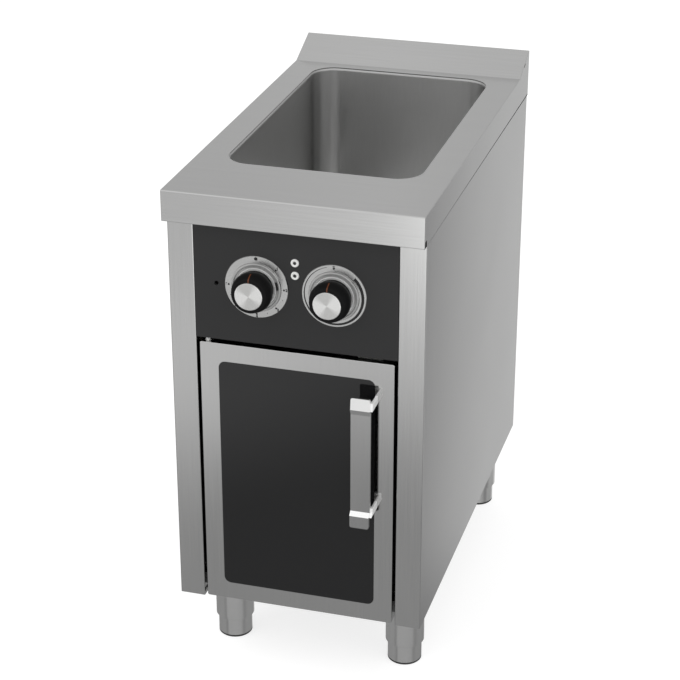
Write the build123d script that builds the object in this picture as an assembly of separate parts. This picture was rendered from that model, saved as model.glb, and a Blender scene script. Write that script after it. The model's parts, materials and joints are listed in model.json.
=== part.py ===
from build123d import *
import os
from math import atan, cos, degrees, pi, sin, sqrt

# A bain-marie on a cabinet: a stainless worktop with a deep well, controls below it, and a door.
# Millimetres. X runs to the right, Y to the back, Z up from the floor. The origin is on the floor,
# in the middle of the box that holds everything.

# Overall sizes
worktop_width = 400.0
worktop_depth = 745.0
cabinet_height = 700.0  # underside of the cabinet to the worktop surface
foot_height = 132.5  # floor to the underside of the cabinet, feet screwed right in

# Clearances
sheet_gap = 0.2  # sheets that lie side by side
slip_gap = 0.05  # a shaft, pin or pipe in its own hole
loose_gap = 0.3  # faces that move past each other

# Worktop
worktop_sheet = 1.0
worktop_bend = 1.6  # outside radius of the folds across the worktop
worktop_side_bend = 1.2  # outside radius of the folds along its sides
apron_height = 49.0
apron_return = 1.0  # drop of the apron below the side lips
apron_hem = 0.9  # outside radius along the apron's lower edge
front_setback = 20.0  # apron face to the faces of posts, panel and door
upstand_run = 75.0
upstand_rise = 30.0  # to the sharp corner, before the fold's radius
lip_notch = 10.0  # square corner relief at the front of each side lip
lip_notch_start = 2.5  # apron face to the relief
slit_length = 11.0  # weld slit in each end of the upstand
slit_width = 2.4
slit_depth = 2.2  # below the sloped face

# Well and basin
well_side_margin = 46.5  # worktop's side to the cut-out
well_front = 140.0  # apron face to the cut-out
well_rear_margin = 22.0  # cut-out to the foot of the upstand
well_corner = 41.0
rim_show = 2.0  # basin rim that shows inside the cut-out
rim_radius = 4.0
basin_sheet = 1.0
basin_depth = 220.0
basin_flange = 12.0
basin_floor_radius = 20.0

# Cabinet sheets
body_sheet = 1.2
body_bend = 1.6
post_width = 40.8
post_return = 26.0
rear_setback = 2.0  # worktop's back edge to the backs of the side panels
rear_flange = 16.0
top_flange = 25.0
bottom_flange = 11.0
base_lip = 20.0
rail_setback = 30.0  # front faces to the front cross rail
rail_depth = 30.0
rail_drop = 40.0
base_clear = 6.0  # door's back to the base panel
vent_rows = 6
vent_length = 70.0
vent_height = 5.0
vent_pitch = 14.0
vent_drop = 330.0  # worktop surface to the top vent

# Control panel
panel_sheet = 1.2
panel_height = 190.7  # apron's lower edge to the panel's lower edge
panel_tuck = 7.0  # part of the panel behind the apron
panel_return = 25.0
shelf_lip = 15.0
knob_spacing = 120.0
knob_drop = 146.0  # worktop surface to the knob axes
lamp_drop = 100.7
lamp_pitch = 20.2
reset_margin = 34.7  # post to the reset hole
reset_drop = 147.3
reset_hole_radius = 3.7

# Dials and knobs, heights measured forward from the panel's face
cap_radius = 21.6
cap_thickness = 3.5
cap_seat = 36.5
knob_rim = 6.2  # cap's edge to the taper's front end
knob_draft = 0.3  # how much wider the taper is at its back
knob_lift = 0.6  # knob's back to the dial's seat
knob_foot_round = 1.9
knob_skirt = 9.0  # height at which the taper starts
knob_shoulder = 36.0  # height at which it ends
knob_swell = 3.3  # how far the taper bulges at its middle
knob_swell_steps = 10
knob_reach = 38.6
knob_bevel = 2.3
dial_seat_gap = 1.2  # knob's edge to the dial's inner rim
dial_seat_height = 3.0
dial_collar_width = 10.0
dial_collar_height = 4.6
dial_ring_width = 10.45  # flat ring outside the collar
dial_edge = 1.8
dial_recess_radius = 27.0
dial_recess = 2.0
pointer_width = 1.6
pointer_back = 26.0
pointer_proud = 0.15
shaft_radius = 3.0
shaft_depth = 20.0  # length inside the switch body
knob_bore_end = 30.0
switch_size = 44.0
switch_depth = 38.0
switch_screw_pitch = 28.0

# Lamps and reset
lamp_radius = 6.35
lamp_lens_radius = 2.7
lamp_body_radius = 4.9
lamp_body_length = 28.0
lamp_nut_radius = 8.0
lamp_nut_height = 4.0
limiter_width = 34.0
limiter_height = 46.0
limiter_depth = 32.0
button_radius = 3.0
button_length = 10.0
button_recess = 0.8  # behind the panel's back face
button_travel = 2.5

# Sensing bulbs
bulb_radius = 3.0
bulb_length = 75.0
capillary_radius = 1.0
capillary_bend = 12.0
capillary_row = 70.0  # front face to the run behind the switches

# Screws and studs
small_screw_radius = 1.95
small_screw_head = 3.6
small_screw_head_height = 1.8
small_screw_length = 8.0
base_screw_radius = 2.95
base_screw_head = 5.5
base_screw_head_height = 3.0
base_screw_length = 8.0
recess_width = 0.9
recess_depth = 1.1
recess_edge = 1.4  # ends of a cross recess to the screw head's edge
stud_radius = 3.0
nut_across = 10.0
nut_height = 5.0

# Heating
element_radius = 4.0
element_side_margin = 48.5  # cut-out's side to the outer runs
element_front_margin = 135.0  # cut-out's front to the front bends
element_rear_margin = 53.0  # cut-out's rear to the rear bends
element_end_length = 10.0
element_pin_radius = 1.8
element_pin_length = 14.0
clamp_count = 3
clamp_pitch = 110.0
clamp_width = 18.0
clamp_sheet = 3.0
clamp_margin = 13.0  # bar beyond the outer runs
shield_sheet = 1.0
shield_lip = 18.0
shield_side_margin = 17.5  # cut-out's side to the shield
shield_end_margin = 23.0  # shield beyond the element's bends
shield_drop = 43.0  # basin underside to the shield's underside
shield_stud_inset = 10.0
pad_inset = 20.0
pad_thickness = 20.0

# Drain
drain_side_clear = 2.0  # basin's left floor radius to the strainer's rim
drain_front_clear = 6.0  # basin's front floor radius to the strainer's rim
strainer_flange = 10.5  # strainer's rim beyond its tail
strainer_rim = 2.0
strainer_hole_radius = 2.4
strainer_rings = ((1, 0.0), (6, 6.5), (12, 12.5))  # holes and ring radius
drain_tail_wall = 3.95
drain_tail_length = 42.0
drain_gasket = 2.0
locknut_wall = 7.5
locknut_height = 9.0
pipe_radius = 17.5
pipe_wall = 2.0
pipe_socket = 15.0
valve_drop = 110.0  # basin underside to the middle of the valve
valve_height = 80.0
ball_radius = 22.0
valve_wall = 5.7
ball_bore = 14.0
stem_radius = 5.0
bonnet_wall = 6.0
bonnet_reach = 38.0
lever_hub_radius = 11.0
lever_length = 92.0
lever_width = 15.0
lever_sheet = 4.0
outlet_below = 45.0  # cabinet underside to the outlet's mouth
outlet_radius = 13.0
outlet_length = 27.0
outlet_cone = 8.0

# Door
door_sheet = 1.0
door_thickness = 28.0
door_side_gap = 5.0
door_top_gap = 7.2
door_bottom_gap = 2.0
door_corner = 3.0
door_bend = 0.8
door_border = 29.4
glass_thickness = 4.0
glass_corner = 11.0
glass_gap = 0.3
hinge_inset = 10.5  # door's left edge to the hinge axis
hinge_setback = 10.0  # door's face to the hinge axis
hinge_pin_radius = 3.0
hinge_engagement = 12.0
hinge_cone_radius = 5.2
hinge_shank_radius = 4.0
bush_radius = 5.0
bush_length = 14.0
bracket_reach = 46.0  # behind the hinge axis
bracket_left = 12.0
bracket_right = 26.0
magnet_width = 40.0
magnet_depth = 14.0
magnet_overlap = 10.0  # below the door's top edge

# Handle, distances measured forward from the door's face
handle_reach = 33.0
handle_width = 30.4
handle_sheet = 5.0
handle_step = 6.5  # lower tab in front of the bar
handle_slope = 6.0  # height of the bend between them
handle_upper_step = 4.0  # upper tab in front of the bar
handle_upper_slope = 9.0
handle_inset = 44.9  # door's right edge to the middle of the handle
handle_drop = 48.6  # door's top edge to the upper tab's end
handle_length = 218.9
handle_upper_tab = 18.8
handle_lower_tab = 20.1
handle_lean = 2.5  # how far the upper tab's end leans back
handle_corner = 3.5
leg_width = 3.8
leg_height = 13.0
leg_setback = 1.2  # behind the plate's front
leg_lug = 3.0  # thickness of the lug behind the plate
leg_lug_width = 6.0  # how far the lug goes in behind it
leg_gap = 0.3  # glass's edge to the legs
leg_edge = 0.8
upper_leg_top = 5.5  # below the upper tab's end
lower_leg_bottom = 20.5  # above the lower tab's end
handle_screw_radius = 1.2
handle_screw_head = 2.6
handle_screw_head_height = 1.8
handle_screw_bite = 12.0  # screw length inside the leg

# Feet
foot_radius = 27.85
foot_wall = 2.0
foot_floor = 5.0
foot_cup_height = 75.0
foot_show = 34.0  # lower half below the sleeve, screwed right in
foot_edge = 1.5
foot_taper = 2.8
foot_sleeve_wall = 3.5
foot_plate_gap = 2.8  # side panel's flange to the foot's plate
foot_front_inset = 133.0
foot_rear_inset = 63.0
foot_screw_gap = 5.0  # sleeve to the screws at its plate's corners
foot_plate_edge = 10.0  # screws to the plate's edges
foot_plate_sheet = 2.0
spindle_radius = 8.0
spindle_shoulder = 11.0
spindle_boss_radius = 13.0
spindle_boss_length = 40.0
spindle_end_gap = 2.0

# Services under the cabinet
gland_x = -60.0
earth_x = 60.0
service_inset = 45.0  # worktop's back edge to the gland and the earth stud
gland_bore = 6.0
gland_radius = 10.0
gland_across = 27.0
gland_hex_height = 6.0
gland_cap_height = 16.0
gland_nut_height = 5.0
earth_length = 18.0
earth_shank_radius = 4.0
earth_across = 13.0
terminal_size = (70.0, 30.0, 22.0)
terminal_poles = 5
terminal_screw_radius = 2.5

# Planes and places that follow from the sizes
top_z = foot_height + cabinet_height
base_z = foot_height
lip_z = top_z - apron_height + apron_return
apron_z = top_z - apron_height
knob_overhang = cap_seat + cap_thickness - front_setback
front_overhang = max(handle_reach - front_setback, knob_overhang)
apron_y = -(worktop_depth - front_overhang) / 2
back_y = apron_y + worktop_depth
face_y = apron_y + front_setback
ramp_y = back_y - upstand_run
half_width = worktop_width / 2
side_x = half_width - worktop_sheet - sheet_gap
inner_x = side_x - body_sheet - sheet_gap
post_x = side_x - post_width
rear_y = back_y - rear_setback
back_panel_y = rear_y - 2 * body_sheet
floor_z = base_z + body_sheet  # underside of the base panel
flange_z = top_z - worktop_sheet  # underside of the worktop
well_width = worktop_width - 2 * well_side_margin
well_length = worktop_depth - upstand_run - well_front - well_rear_margin
well_y = apron_y + well_front + well_length / 2
basin_floor_z = flange_z - basin_depth
element_pitch = (well_width - 2 * element_side_margin) / 3
element_length = well_length - element_front_margin - element_rear_margin
element_y = apron_y + well_front + element_front_margin
shield_width = well_width - 2 * shield_side_margin
shield_length = element_length + 2 * shield_end_margin
shield_y = element_y + element_length / 2
rail_y = face_y + rail_setback
panel_z = apron_z - panel_height
panel_top_z = apron_z + panel_tuck
shelf_z = panel_z + panel_sheet
knob_z = top_z - knob_drop
knob_front_radius = cap_radius + knob_rim
knob_radius = knob_front_radius + knob_draft
knob_foot = dial_seat_height + knob_lift
dial_seat_radius = knob_radius + dial_seat_gap
dial_collar_radius = dial_seat_radius + dial_collar_width
dial_radius = dial_collar_radius + dial_ring_width
reset_x = reset_margin - post_x
reset_z = top_z - reset_drop
door_x = post_x - door_side_gap
door_top_z = panel_z - door_top_gap
door_bottom_z = base_z + door_bottom_gap
door_middle_z = (door_top_z + door_bottom_z) / 2
door_height = door_top_z - door_bottom_z
door_back_y = face_y + door_thickness
hinge_x = -door_x + hinge_inset
hinge_y = face_y + hinge_setback
handle_x = door_x - handle_inset
handle_top_z = door_top_z - handle_drop
handle_bottom_z = handle_top_z - handle_length
leg_x = door_x - door_border + leg_gap + leg_width / 2
drain_tail_radius = pipe_radius + slip_gap + drain_tail_wall
strainer_radius = drain_tail_radius + strainer_flange
drain_corner = rim_show + basin_floor_radius + strainer_radius
drain_x = drain_corner + drain_side_clear - well_width / 2
drain_y = apron_y + well_front + drain_corner + drain_front_clear
locknut_across = 2 * (drain_tail_radius + locknut_wall)
valve_z = basin_floor_z - valve_drop
valve_radius = ball_radius + loose_gap + valve_wall
bonnet_radius = stem_radius + bonnet_wall
foot_sleeve_radius = foot_radius + loose_gap + foot_sleeve_wall
foot_screw_pitch = sqrt(2) * (foot_sleeve_radius + base_screw_radius + foot_screw_gap)
foot_plate = foot_screw_pitch + 2 * foot_plate_edge
foot_x = side_x - bottom_flange - foot_plate_gap - foot_plate / 2
foot_rows = {"front": apron_y + foot_front_inset, "rear": back_y - foot_rear_inset}
service_y = back_y - service_inset
knob_places = {"left": -knob_spacing / 2, "right": knob_spacing / 2}

upright = (Align.CENTER, Align.CENTER, Align.MIN)


# Shapes used more than once


def block(x0, x1, y0, y1, z0, z1):
    corner = (Align.MIN, Align.MIN, Align.MIN)
    return Pos(x0, y0, z0) * Box(x1 - x0, y1 - y0, z1 - z0, align=corner)


def rod(x, y, z, radius, height):
    return Pos(x, y, z) * Cylinder(radius, height, align=upright)


def backward_rod(x, y, z, radius, length):
    return Pos(x, y, z) * Rot(-90, 0, 0) * Cylinder(radius, length, align=upright)


def hexagon(x, y, z, across, height):
    outline = RegularPolygon(across / 2, 6, major_radius=False)
    return Pos(x, y, z) * extrude(outline, height)


def cross_recess(head_radius):
    # cuts into the top of a screw head that stands along +Z
    bar = Box(2 * (head_radius - recess_edge), recess_width, 2 * recess_depth)
    return bar + Rot(0, 0, 90) * bar


def turned(points):
    # a solid of revolution about Z from an outline of (radius, height) points
    return revolve(Plane.XZ * make_face(Polyline(*points, close=True)), Axis.Z)


def forward(x, z, shape):
    # stands a shape made along +Z on the panel's face, pointing to the front
    return Pos(x, face_y, z) * Rot(90, 0, 0) * shape


def pan(width, length, corner, z0, z1):
    # a rounded slab centred on the well
    return Pos(0, well_y, z0) * extrude(RectangleRounded(width, length, corner), z1 - z0)


def door_slab(width, height, corner, y0, y1):
    # a rounded slab centred on the door, between two depths behind its face
    slab = extrude(RectangleRounded(width, height, corner), y1 - y0)
    return Pos(0, face_y + y0, door_middle_z) * Rot(-90, 0, 0) * slab


def strip(points, thickness):
    # closed outline of a bent strip: the given line and its copy, offset to the left
    line = [Vector(*point) for point in points]
    ways = [(b - a).normalized() for a, b in zip(line, line[1:])]
    sides = [Vector(-way.Y, way.X) for way in ways]
    offset_line = [line[0] + sides[0] * thickness]
    for corner, before, after in zip(line[1:-1], sides, sides[1:]):
        offset_line.append(corner + (before + after) * (thickness / (1 + before.dot(after))))
    offset_line.append(line[-1] + sides[-1] * thickness)
    return make_face(Polyline(*line, *reversed(offset_line), close=True))


def group(shapes):
    return Compound([solid for shape in shapes for solid in shape.solids()])


# Worktop and well


def worktop_outline(inset):
    slope = upstand_rise / upstand_run
    lean = inset / cos(atan(slope))
    fold_y = ramp_y + (lean - inset) / slope
    crest_z = top_z + (upstand_run - inset) * slope - lean
    outline = Polyline(
        (apron_y + inset, apron_z),
        (apron_y + inset, top_z - inset),
        (fold_y, top_z - inset),
        (back_y - inset, crest_z),
        (back_y - inset, apron_z),
        close=True,
    )
    face = make_face(outline)
    folds = face.vertices().filter_by(lambda v: v.Y > apron_z + 1)
    return Plane.YZ * fillet(folds, worktop_bend - inset)


def make_worktop():
    skin = extrude(worktop_outline(0), half_width, both=True)
    ends = skin.faces().filter_by(Axis.X)
    rims = ends.edges().filter_by(lambda e: e.center().Z > apron_z + 1)
    skin = fillet(rims, worktop_side_bend)
    skin -= extrude(worktop_outline(worktop_sheet), half_width - worktop_sheet, both=True)
    apron_back = apron_y + worktop_sheet
    skin -= block(-half_width, half_width, apron_back, back_y, apron_z, lip_z)
    inside = half_width - worktop_sheet
    fold = inside - sheet_gap
    skin += block(-fold, fold, apron_back, face_y - sheet_gap, apron_z, apron_z + worktop_sheet)
    low_edges = skin.edges().filter_by(Axis.X).filter_by(lambda e: e.center().Z < apron_z + sheet_gap)
    skin = fillet(low_edges.sort_by(Axis.Y)[0], apron_hem)
    notch_y = apron_y + lip_notch_start
    notch_z = lip_z + lip_notch - apron_return
    for side in (-1, 1):
        edge = sorted((side * inside, side * half_width))
        skin -= block(edge[0], edge[1], notch_y, notch_y + lip_notch, lip_z, notch_z)
    slope = atan(upstand_rise / upstand_run)
    slit_y = ramp_y + upstand_run / 2
    slit_z = top_z + upstand_rise / 2 - slit_depth
    slit = Pos(slit_y, slit_z) * Rot(0, 0, degrees(slope)) * SlotOverall(slit_length, slit_width)
    skin -= extrude(Plane.YZ * slit, half_width, both=True)
    skin -= pan(well_width, well_length, well_corner, flange_z - 1, top_z + 1)
    # the upstand is a strip of its own, welded on just before its fold
    seam = Plane(origin=(0, ramp_y - worktop_bend, 0), z_dir=(0, 1, 0))
    return group([split(skin, seam, Keep.BOTH)])


def make_basin():
    inner = (well_width - 2 * rim_show, well_length - 2 * rim_show, well_corner - rim_show)
    outer = tuple(size + 2 * basin_sheet for size in inner[:2]) + (inner[2] + basin_sheet,)
    brim = tuple(size + 2 * basin_flange for size in inner[:2]) + (inner[2] + basin_flange,)
    void = pan(*inner, basin_floor_z + basin_sheet, flange_z)
    void = fillet(void.faces().sort_by(Axis.Z)[0].edges(), basin_floor_radius)
    shell = pan(*outer, basin_floor_z, flange_z - basin_sheet)
    shell = fillet(shell.faces().sort_by(Axis.Z)[0].edges(), basin_floor_radius + basin_sheet)
    shell += pan(*brim, flange_z - basin_sheet, flange_z)
    underside = shell.faces().filter_by(Plane.XY).sort_by(Axis.Z)[1]
    shell = fillet(underside.inner_wires()[0].edges(), rim_radius + basin_sheet)
    shell -= void
    mouth = shell.faces().sort_by(Axis.Z)[-1].inner_wires()[0]
    shell = fillet(mouth.edges(), rim_radius)
    shell -= rod(drain_x, drain_y, basin_floor_z, drain_tail_radius + slip_gap, basin_sheet)
    clamp_stud = 2 * element_radius + 2 * slip_gap + clamp_sheet + nut_height + 1
    for x, y in clamp_studs():
        shell += rod(x, y, basin_floor_z - clamp_stud, stud_radius, clamp_stud)
    for x, y in shield_studs():
        length = shield_drop + nut_height + 2
        shell += rod(x, y, basin_floor_z - length, stud_radius, length)
    return shell


# Heating under the basin


def clamp_rows():
    return [shield_y + clamp_pitch * (i - (clamp_count - 1) / 2) for i in range(clamp_count)]


def clamp_studs():
    return [(side * element_pitch, y) for y in clamp_rows() for side in (-1, 1)]


def shield_studs():
    x = shield_width / 2 - shield_stud_inset
    y = shield_length / 2 - shield_stud_inset
    return [(sx * x, shield_y + sy * y) for sx in (-1, 1) for sy in (-1, 1)]


def make_element():
    front = element_y
    rear = front + element_length
    z = basin_floor_z - element_radius - slip_gap
    runs = [element_pitch * (i - 1.5) for i in range(4)]
    route = [(runs[0], front, z), (runs[0], rear, z), (runs[1], rear, z), (runs[1], front, z)]
    route += [(-x, y, z) for x, y, z in reversed(route)]
    line = FilletPolyline(*route, radius=element_pitch / 2 - 1)
    element = sweep(Plane(origin=route[0], z_dir=(0, 1, 0)) * Circle(element_radius), path=line)
    for x in (runs[0], runs[3]):
        bead = front - element_end_length
        element += backward_rod(x, bead, z, element_radius, element_end_length)
        element += backward_rod(
            x, bead - element_pin_length, z, element_pin_radius, element_pin_length
        )
    return element


def clamp_top():
    return basin_floor_z - 2 * element_radius - 2 * slip_gap


def make_clamps():
    reach = 1.5 * element_pitch + clamp_margin
    half = clamp_width / 2
    low = clamp_top() - clamp_sheet
    bars = []
    for y in clamp_rows():
        bar = block(-reach, reach, y - half, y + half, low, clamp_top())
        for side in (-1, 1):
            bar -= rod(side * element_pitch, y, low, stud_radius + sheet_gap, clamp_sheet)
        bars.append(bar)
    return group(bars)


def make_stud_nuts():
    nuts = [(x, y, clamp_top() - clamp_sheet) for x, y in clamp_studs()]
    nuts += [(x, y, basin_floor_z - shield_drop) for x, y in shield_studs()]
    shapes = []
    for x, y, z in nuts:
        nut = hexagon(x, y, z - nut_height, nut_across, nut_height)
        shapes.append(nut - rod(x, y, z - nut_height, stud_radius + slip_gap, nut_height))
    return group(shapes)


def make_shield():
    x, y = shield_width / 2, shield_length / 2
    low = basin_floor_z - shield_drop
    tray = Pos(0, shield_y, low) * Box(2 * x, 2 * y, shield_lip, align=upright)
    inner = (2 * (x - shield_sheet), 2 * (y - shield_sheet), shield_lip)
    tray -= Pos(0, shield_y, low + shield_sheet) * Box(*inner, align=upright)
    for sx, sy in shield_studs():
        tray -= rod(sx, sy, low, stud_radius + sheet_gap, shield_sheet)
    return tray


def make_pad():
    x, y = shield_width / 2 - pad_inset, shield_length / 2 - pad_inset
    low = basin_floor_z - shield_drop + shield_sheet
    pad = block(-x, x, shield_y - y, shield_y + y, low, low + pad_thickness)
    return fillet(pad.edges().filter_by(Axis.Z), pad_inset / 2)


# Drain


def drain_tube(z0, z1, outer, inner):
    return rod(drain_x, drain_y, z0, outer, z1 - z0) - rod(drain_x, drain_y, z0, inner, z1 - z0)


def make_strainer():
    seat = basin_floor_z + basin_sheet
    outline = [
        (0, strainer_rim),
        (strainer_radius - 2 * strainer_rim, strainer_rim),
        (strainer_radius, strainer_rim / 4),
        (strainer_radius, 0),
        (drain_tail_radius, 0),
        (drain_tail_radius, -drain_tail_length),
        (pipe_radius + slip_gap, -drain_tail_length),
        (pipe_radius + slip_gap, 0),
        (0, 0),
    ]
    strainer = Pos(drain_x, drain_y, seat) * turned(outline)
    for count, radius in strainer_rings:
        for place in PolarLocations(radius, count):
            hole = Pos(drain_x, drain_y, seat) * place * Cylinder(
                strainer_hole_radius, strainer_rim, align=upright
            )
            strainer -= hole
    return strainer


def tail_end():
    return basin_floor_z + basin_sheet - drain_tail_length


def make_gasket():
    return drain_tube(
        basin_floor_z - drain_gasket,
        basin_floor_z,
        strainer_radius - strainer_rim,
        drain_tail_radius + slip_gap,
    )


def make_locknut():
    low = basin_floor_z - drain_gasket - locknut_height
    nut = hexagon(drain_x, drain_y, low, locknut_across, locknut_height)
    return nut - rod(drain_x, drain_y, low, drain_tail_radius + slip_gap, locknut_height)


def make_drain_pipe():
    low = valve_z + valve_height / 2 - pipe_socket
    return drain_tube(low, tail_end() + pipe_socket, pipe_radius, pipe_radius - pipe_wall)


def make_valve_body():
    half = valve_height / 2
    bore = pipe_radius - pipe_wall
    body = rod(drain_x, drain_y, valve_z - half, valve_radius, valve_height)
    body += backward_rod(drain_x, drain_y - bonnet_reach, valve_z, bonnet_radius, bonnet_reach)
    body -= Pos(drain_x, drain_y, valve_z) * Sphere(ball_radius + loose_gap)
    body -= rod(drain_x, drain_y, valve_z - half, bore, valve_height)
    for low in (valve_z - half, valve_z + half - pipe_socket):
        body -= rod(drain_x, drain_y, low, pipe_radius + slip_gap, pipe_socket)
    return body - backward_rod(
        drain_x, drain_y - bonnet_reach, valve_z, stem_radius + slip_gap, bonnet_reach
    )


def make_valve_ball():
    ball = Pos(drain_x, drain_y, valve_z) * Sphere(ball_radius)
    ball -= Pos(drain_x, drain_y, valve_z) * Rot(0, 90, 0) * Cylinder(ball_bore, 3 * ball_radius)
    reach = bonnet_reach + loose_gap + lever_sheet + 1
    blade = reach - ball_bore - 1
    return ball + backward_rod(drain_x, drain_y - reach, valve_z, stem_radius, blade)


def make_lever():
    middle = lever_length / 2
    outline = Circle(lever_hub_radius) + Pos(middle, 0) * SlotOverall(lever_length, lever_width)
    outline -= Circle(stem_radius + slip_gap)
    outline -= Pos(lever_length - lever_width / 2, 0) * Circle(lever_width / 5)
    plate = Rot(90, 0, 0) * extrude(outline, lever_sheet)
    lever = Pos(drain_x, drain_y - bonnet_reach - loose_gap, valve_z) * plate
    return fillet(lever.edges().filter_by(lambda e: e.length > lever_length / 2), lever_sheet / 5)


def make_outlet():
    top = valve_z - valve_height / 2 + pipe_socket
    mouth = base_z - outlet_below
    neck = mouth + outlet_length
    inner = pipe_radius - pipe_wall
    outline = [
        (outlet_radius - pipe_wall, mouth),
        (outlet_radius, mouth),
        (outlet_radius, neck),
        (pipe_radius, neck + outlet_cone),
        (pipe_radius, top),
        (inner, top),
        (inner, neck + outlet_cone),
        (outlet_radius - pipe_wall, neck),
    ]
    return Pos(drain_x, drain_y, 0) * turned(outline)


# Cabinet


def make_side_panel(side):
    plan = strip(
        [
            (post_x, face_y + post_return),
            (post_x, face_y),
            (side_x, face_y),
            (side_x, rear_y),
            (side_x - rear_flange, rear_y),
        ],
        body_sheet,
    )
    panel = Pos(0, 0, base_z) * extrude(plan, flange_z - base_z)
    corners = panel.edges().filter_by(Axis.Z)
    outside = corners.filter_by(lambda e: abs(e.center().Y - face_y) < body_sheet / 2)
    panel = fillet(outside, body_bend)
    inside = side_x - body_sheet / 2
    panel += block(
        side_x - top_flange,
        inside,
        rail_y + rail_depth + 2,
        ramp_y - rail_depth / 3,
        flange_z - body_sheet,
        flange_z,
    )
    panel += block(
        side_x - bottom_flange,
        inside,
        face_y + post_return,
        rear_y - body_sheet,
        base_z,
        base_z + body_sheet,
    )
    for z in rear_screw_rows():
        x = side_x - rear_flange / 2
        panel -= backward_rod(x, rear_y - body_sheet, z, small_screw_radius + sheet_gap, body_sheet)
    return panel if side > 0 else mirror(panel, about=Plane.YZ)


def rear_screw_rows():
    low, high = base_z + 2 * base_lip, lip_z - 2 * base_lip
    return [low + (high - low) * i / 3 for i in range(4)]


def make_back_panel():
    low = floor_z + sheet_gap
    panel = block(-inner_x, inner_x, back_panel_y, back_panel_y + body_sheet, low, lip_z + base_lip)
    for side in (-1, 1):
        for z in rear_screw_rows():
            x = side * (side_x - rear_flange / 2)
            panel -= backward_rod(x, back_panel_y, z, small_screw_radius + slip_gap, body_sheet)
        for row in range(vent_rows):
            place = Pos(side * vent_length, back_panel_y, top_z - vent_drop - row * vent_pitch)
            slot = extrude(SlotOverall(vent_length, vent_height), body_sheet)
            panel -= place * Rot(-90, 0, 0) * slot
    return panel


def base_front():
    return door_back_y + base_clear


def make_base_panel():
    rear = back_panel_y - sheet_gap
    front = base_front()
    top = floor_z + body_sheet
    panel = block(-inner_x, inner_x, front, rear, floor_z, top)
    panel += block(-inner_x, inner_x, front, front + body_sheet, floor_z, floor_z + base_lip)
    panel += block(-inner_x, inner_x, rear - body_sheet, rear, floor_z, floor_z + base_lip)
    holes = [(x, y, base_screw_radius + sheet_gap) for x, y in base_screw_places()]
    holes.append((drain_x, drain_y, pipe_radius + 1))
    holes.append((gland_x, service_y, gland_radius + slip_gap))
    holes.append((earth_x, service_y, earth_shank_radius + slip_gap))
    for x, y, radius in holes:
        panel -= rod(x, y, floor_z, radius, body_sheet)
    return panel


def make_rails():
    drop = flange_z - rail_drop
    front = block(-inner_x, inner_x, rail_y, rail_y + rail_depth, flange_z - body_sheet, flange_z)
    front += block(-inner_x, inner_x, rail_y, rail_y + body_sheet, drop, flange_z)
    rear_start = ramp_y - rail_depth / 4
    rear_end = rear_start + rail_depth
    rear = block(-inner_x, inner_x, rear_start, rear_end, flange_z - body_sheet, flange_z)
    rear += block(-inner_x, inner_x, rear_end - body_sheet, rear_end, drop, flange_z)
    return group([front, rear])


def make_shelf():
    x = post_x - sheet_gap
    front = face_y + panel_sheet + sheet_gap
    rear = apron_y + well_front - sheet_gap
    shelf = block(-x, x, front, rear, shelf_z, shelf_z + body_sheet)
    shelf += block(-x, x, rear - body_sheet, rear, shelf_z, shelf_z + shelf_lip)
    return shelf - rod(hinge_x, hinge_y, shelf_z, hinge_shank_radius + slip_gap, body_sheet)


# Feet


def foot_places():
    return {
        f"foot_{row}_{name}": (side * foot_x, y)
        for row, y in foot_rows.items()
        for name, side in (("left", -1), ("right", 1))
    }


def base_screw_places():
    half = foot_screw_pitch / 2
    places = [
        (x + dx, y + dy)
        for x, y in foot_places().values()
        for dx in (-half, half)
        for dy in (-half, half)
    ]
    return places + bracket_screw_places()


def bracket_screw_places():
    y = base_front() + body_sheet + base_screw_head + 2
    return [(hinge_x, y), (hinge_x + bracket_right / 2, y)]


def boss_end():
    return floor_z - foot_plate_sheet - spindle_boss_length


def make_sleeve(x, y):
    plate_z = floor_z - foot_plate_sheet
    inner = foot_radius + loose_gap
    outline = [
        (inner, foot_show),
        (inner + foot_sleeve_wall / 7, foot_show),
        (foot_sleeve_radius, foot_show + foot_taper),
        (foot_sleeve_radius, plate_z),
        (inner, plate_z),
    ]
    plate = extrude(RectangleRounded(foot_plate, foot_plate, foot_plate / 12), foot_plate_sheet)
    sleeve = Pos(x, y, 0) * turned(outline) + Pos(x, y, plate_z) * plate
    sleeve += rod(x, y, boss_end(), spindle_boss_radius, spindle_boss_length)
    sleeve -= rod(x, y, boss_end(), spindle_radius + slip_gap, spindle_boss_length)
    half = foot_screw_pitch / 2
    for dx in (-half, half):
        for dy in (-half, half):
            sleeve -= rod(x + dx, y + dy, plate_z, base_screw_radius + slip_gap, foot_plate_sheet)
    return sleeve


def make_foot(x, y):
    inner = foot_radius - foot_wall
    shoulder = boss_end() - loose_gap
    outline = [
        (0, 0),
        (foot_radius - foot_edge, 0),
        (foot_radius, foot_edge),
        (foot_radius, foot_cup_height),
        (inner, foot_cup_height),
        (inner, foot_floor),
        (spindle_shoulder, foot_floor),
        (spindle_shoulder, shoulder),
        (spindle_radius, shoulder),
        (spindle_radius, floor_z - foot_plate_sheet - spindle_end_gap),
        (0, floor_z - foot_plate_sheet - spindle_end_gap),
    ]
    return Pos(x, y, 0) * turned(outline)


def make_base_screws():
    seat = floor_z + body_sheet
    screws = []
    for x, y in base_screw_places():
        head = rod(x, y, seat, base_screw_head, base_screw_head_height)
        head = chamfer(head.edges().sort_by(Axis.Z)[-1], base_screw_head_height / 3)
        head -= Pos(x, y, seat + base_screw_head_height) * cross_recess(base_screw_head)
        screws.append(
            head + rod(x, y, seat - base_screw_length, base_screw_radius, base_screw_length)
        )
    return group(screws)


# Control panel


def switch_screw_places():
    half = switch_screw_pitch / 2
    return [(x + dx, knob_z) for x in knob_places.values() for dx in (-half, half)]


def lamp_places():
    return [top_z - lamp_drop - i * lamp_pitch for i in range(2)]


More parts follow.
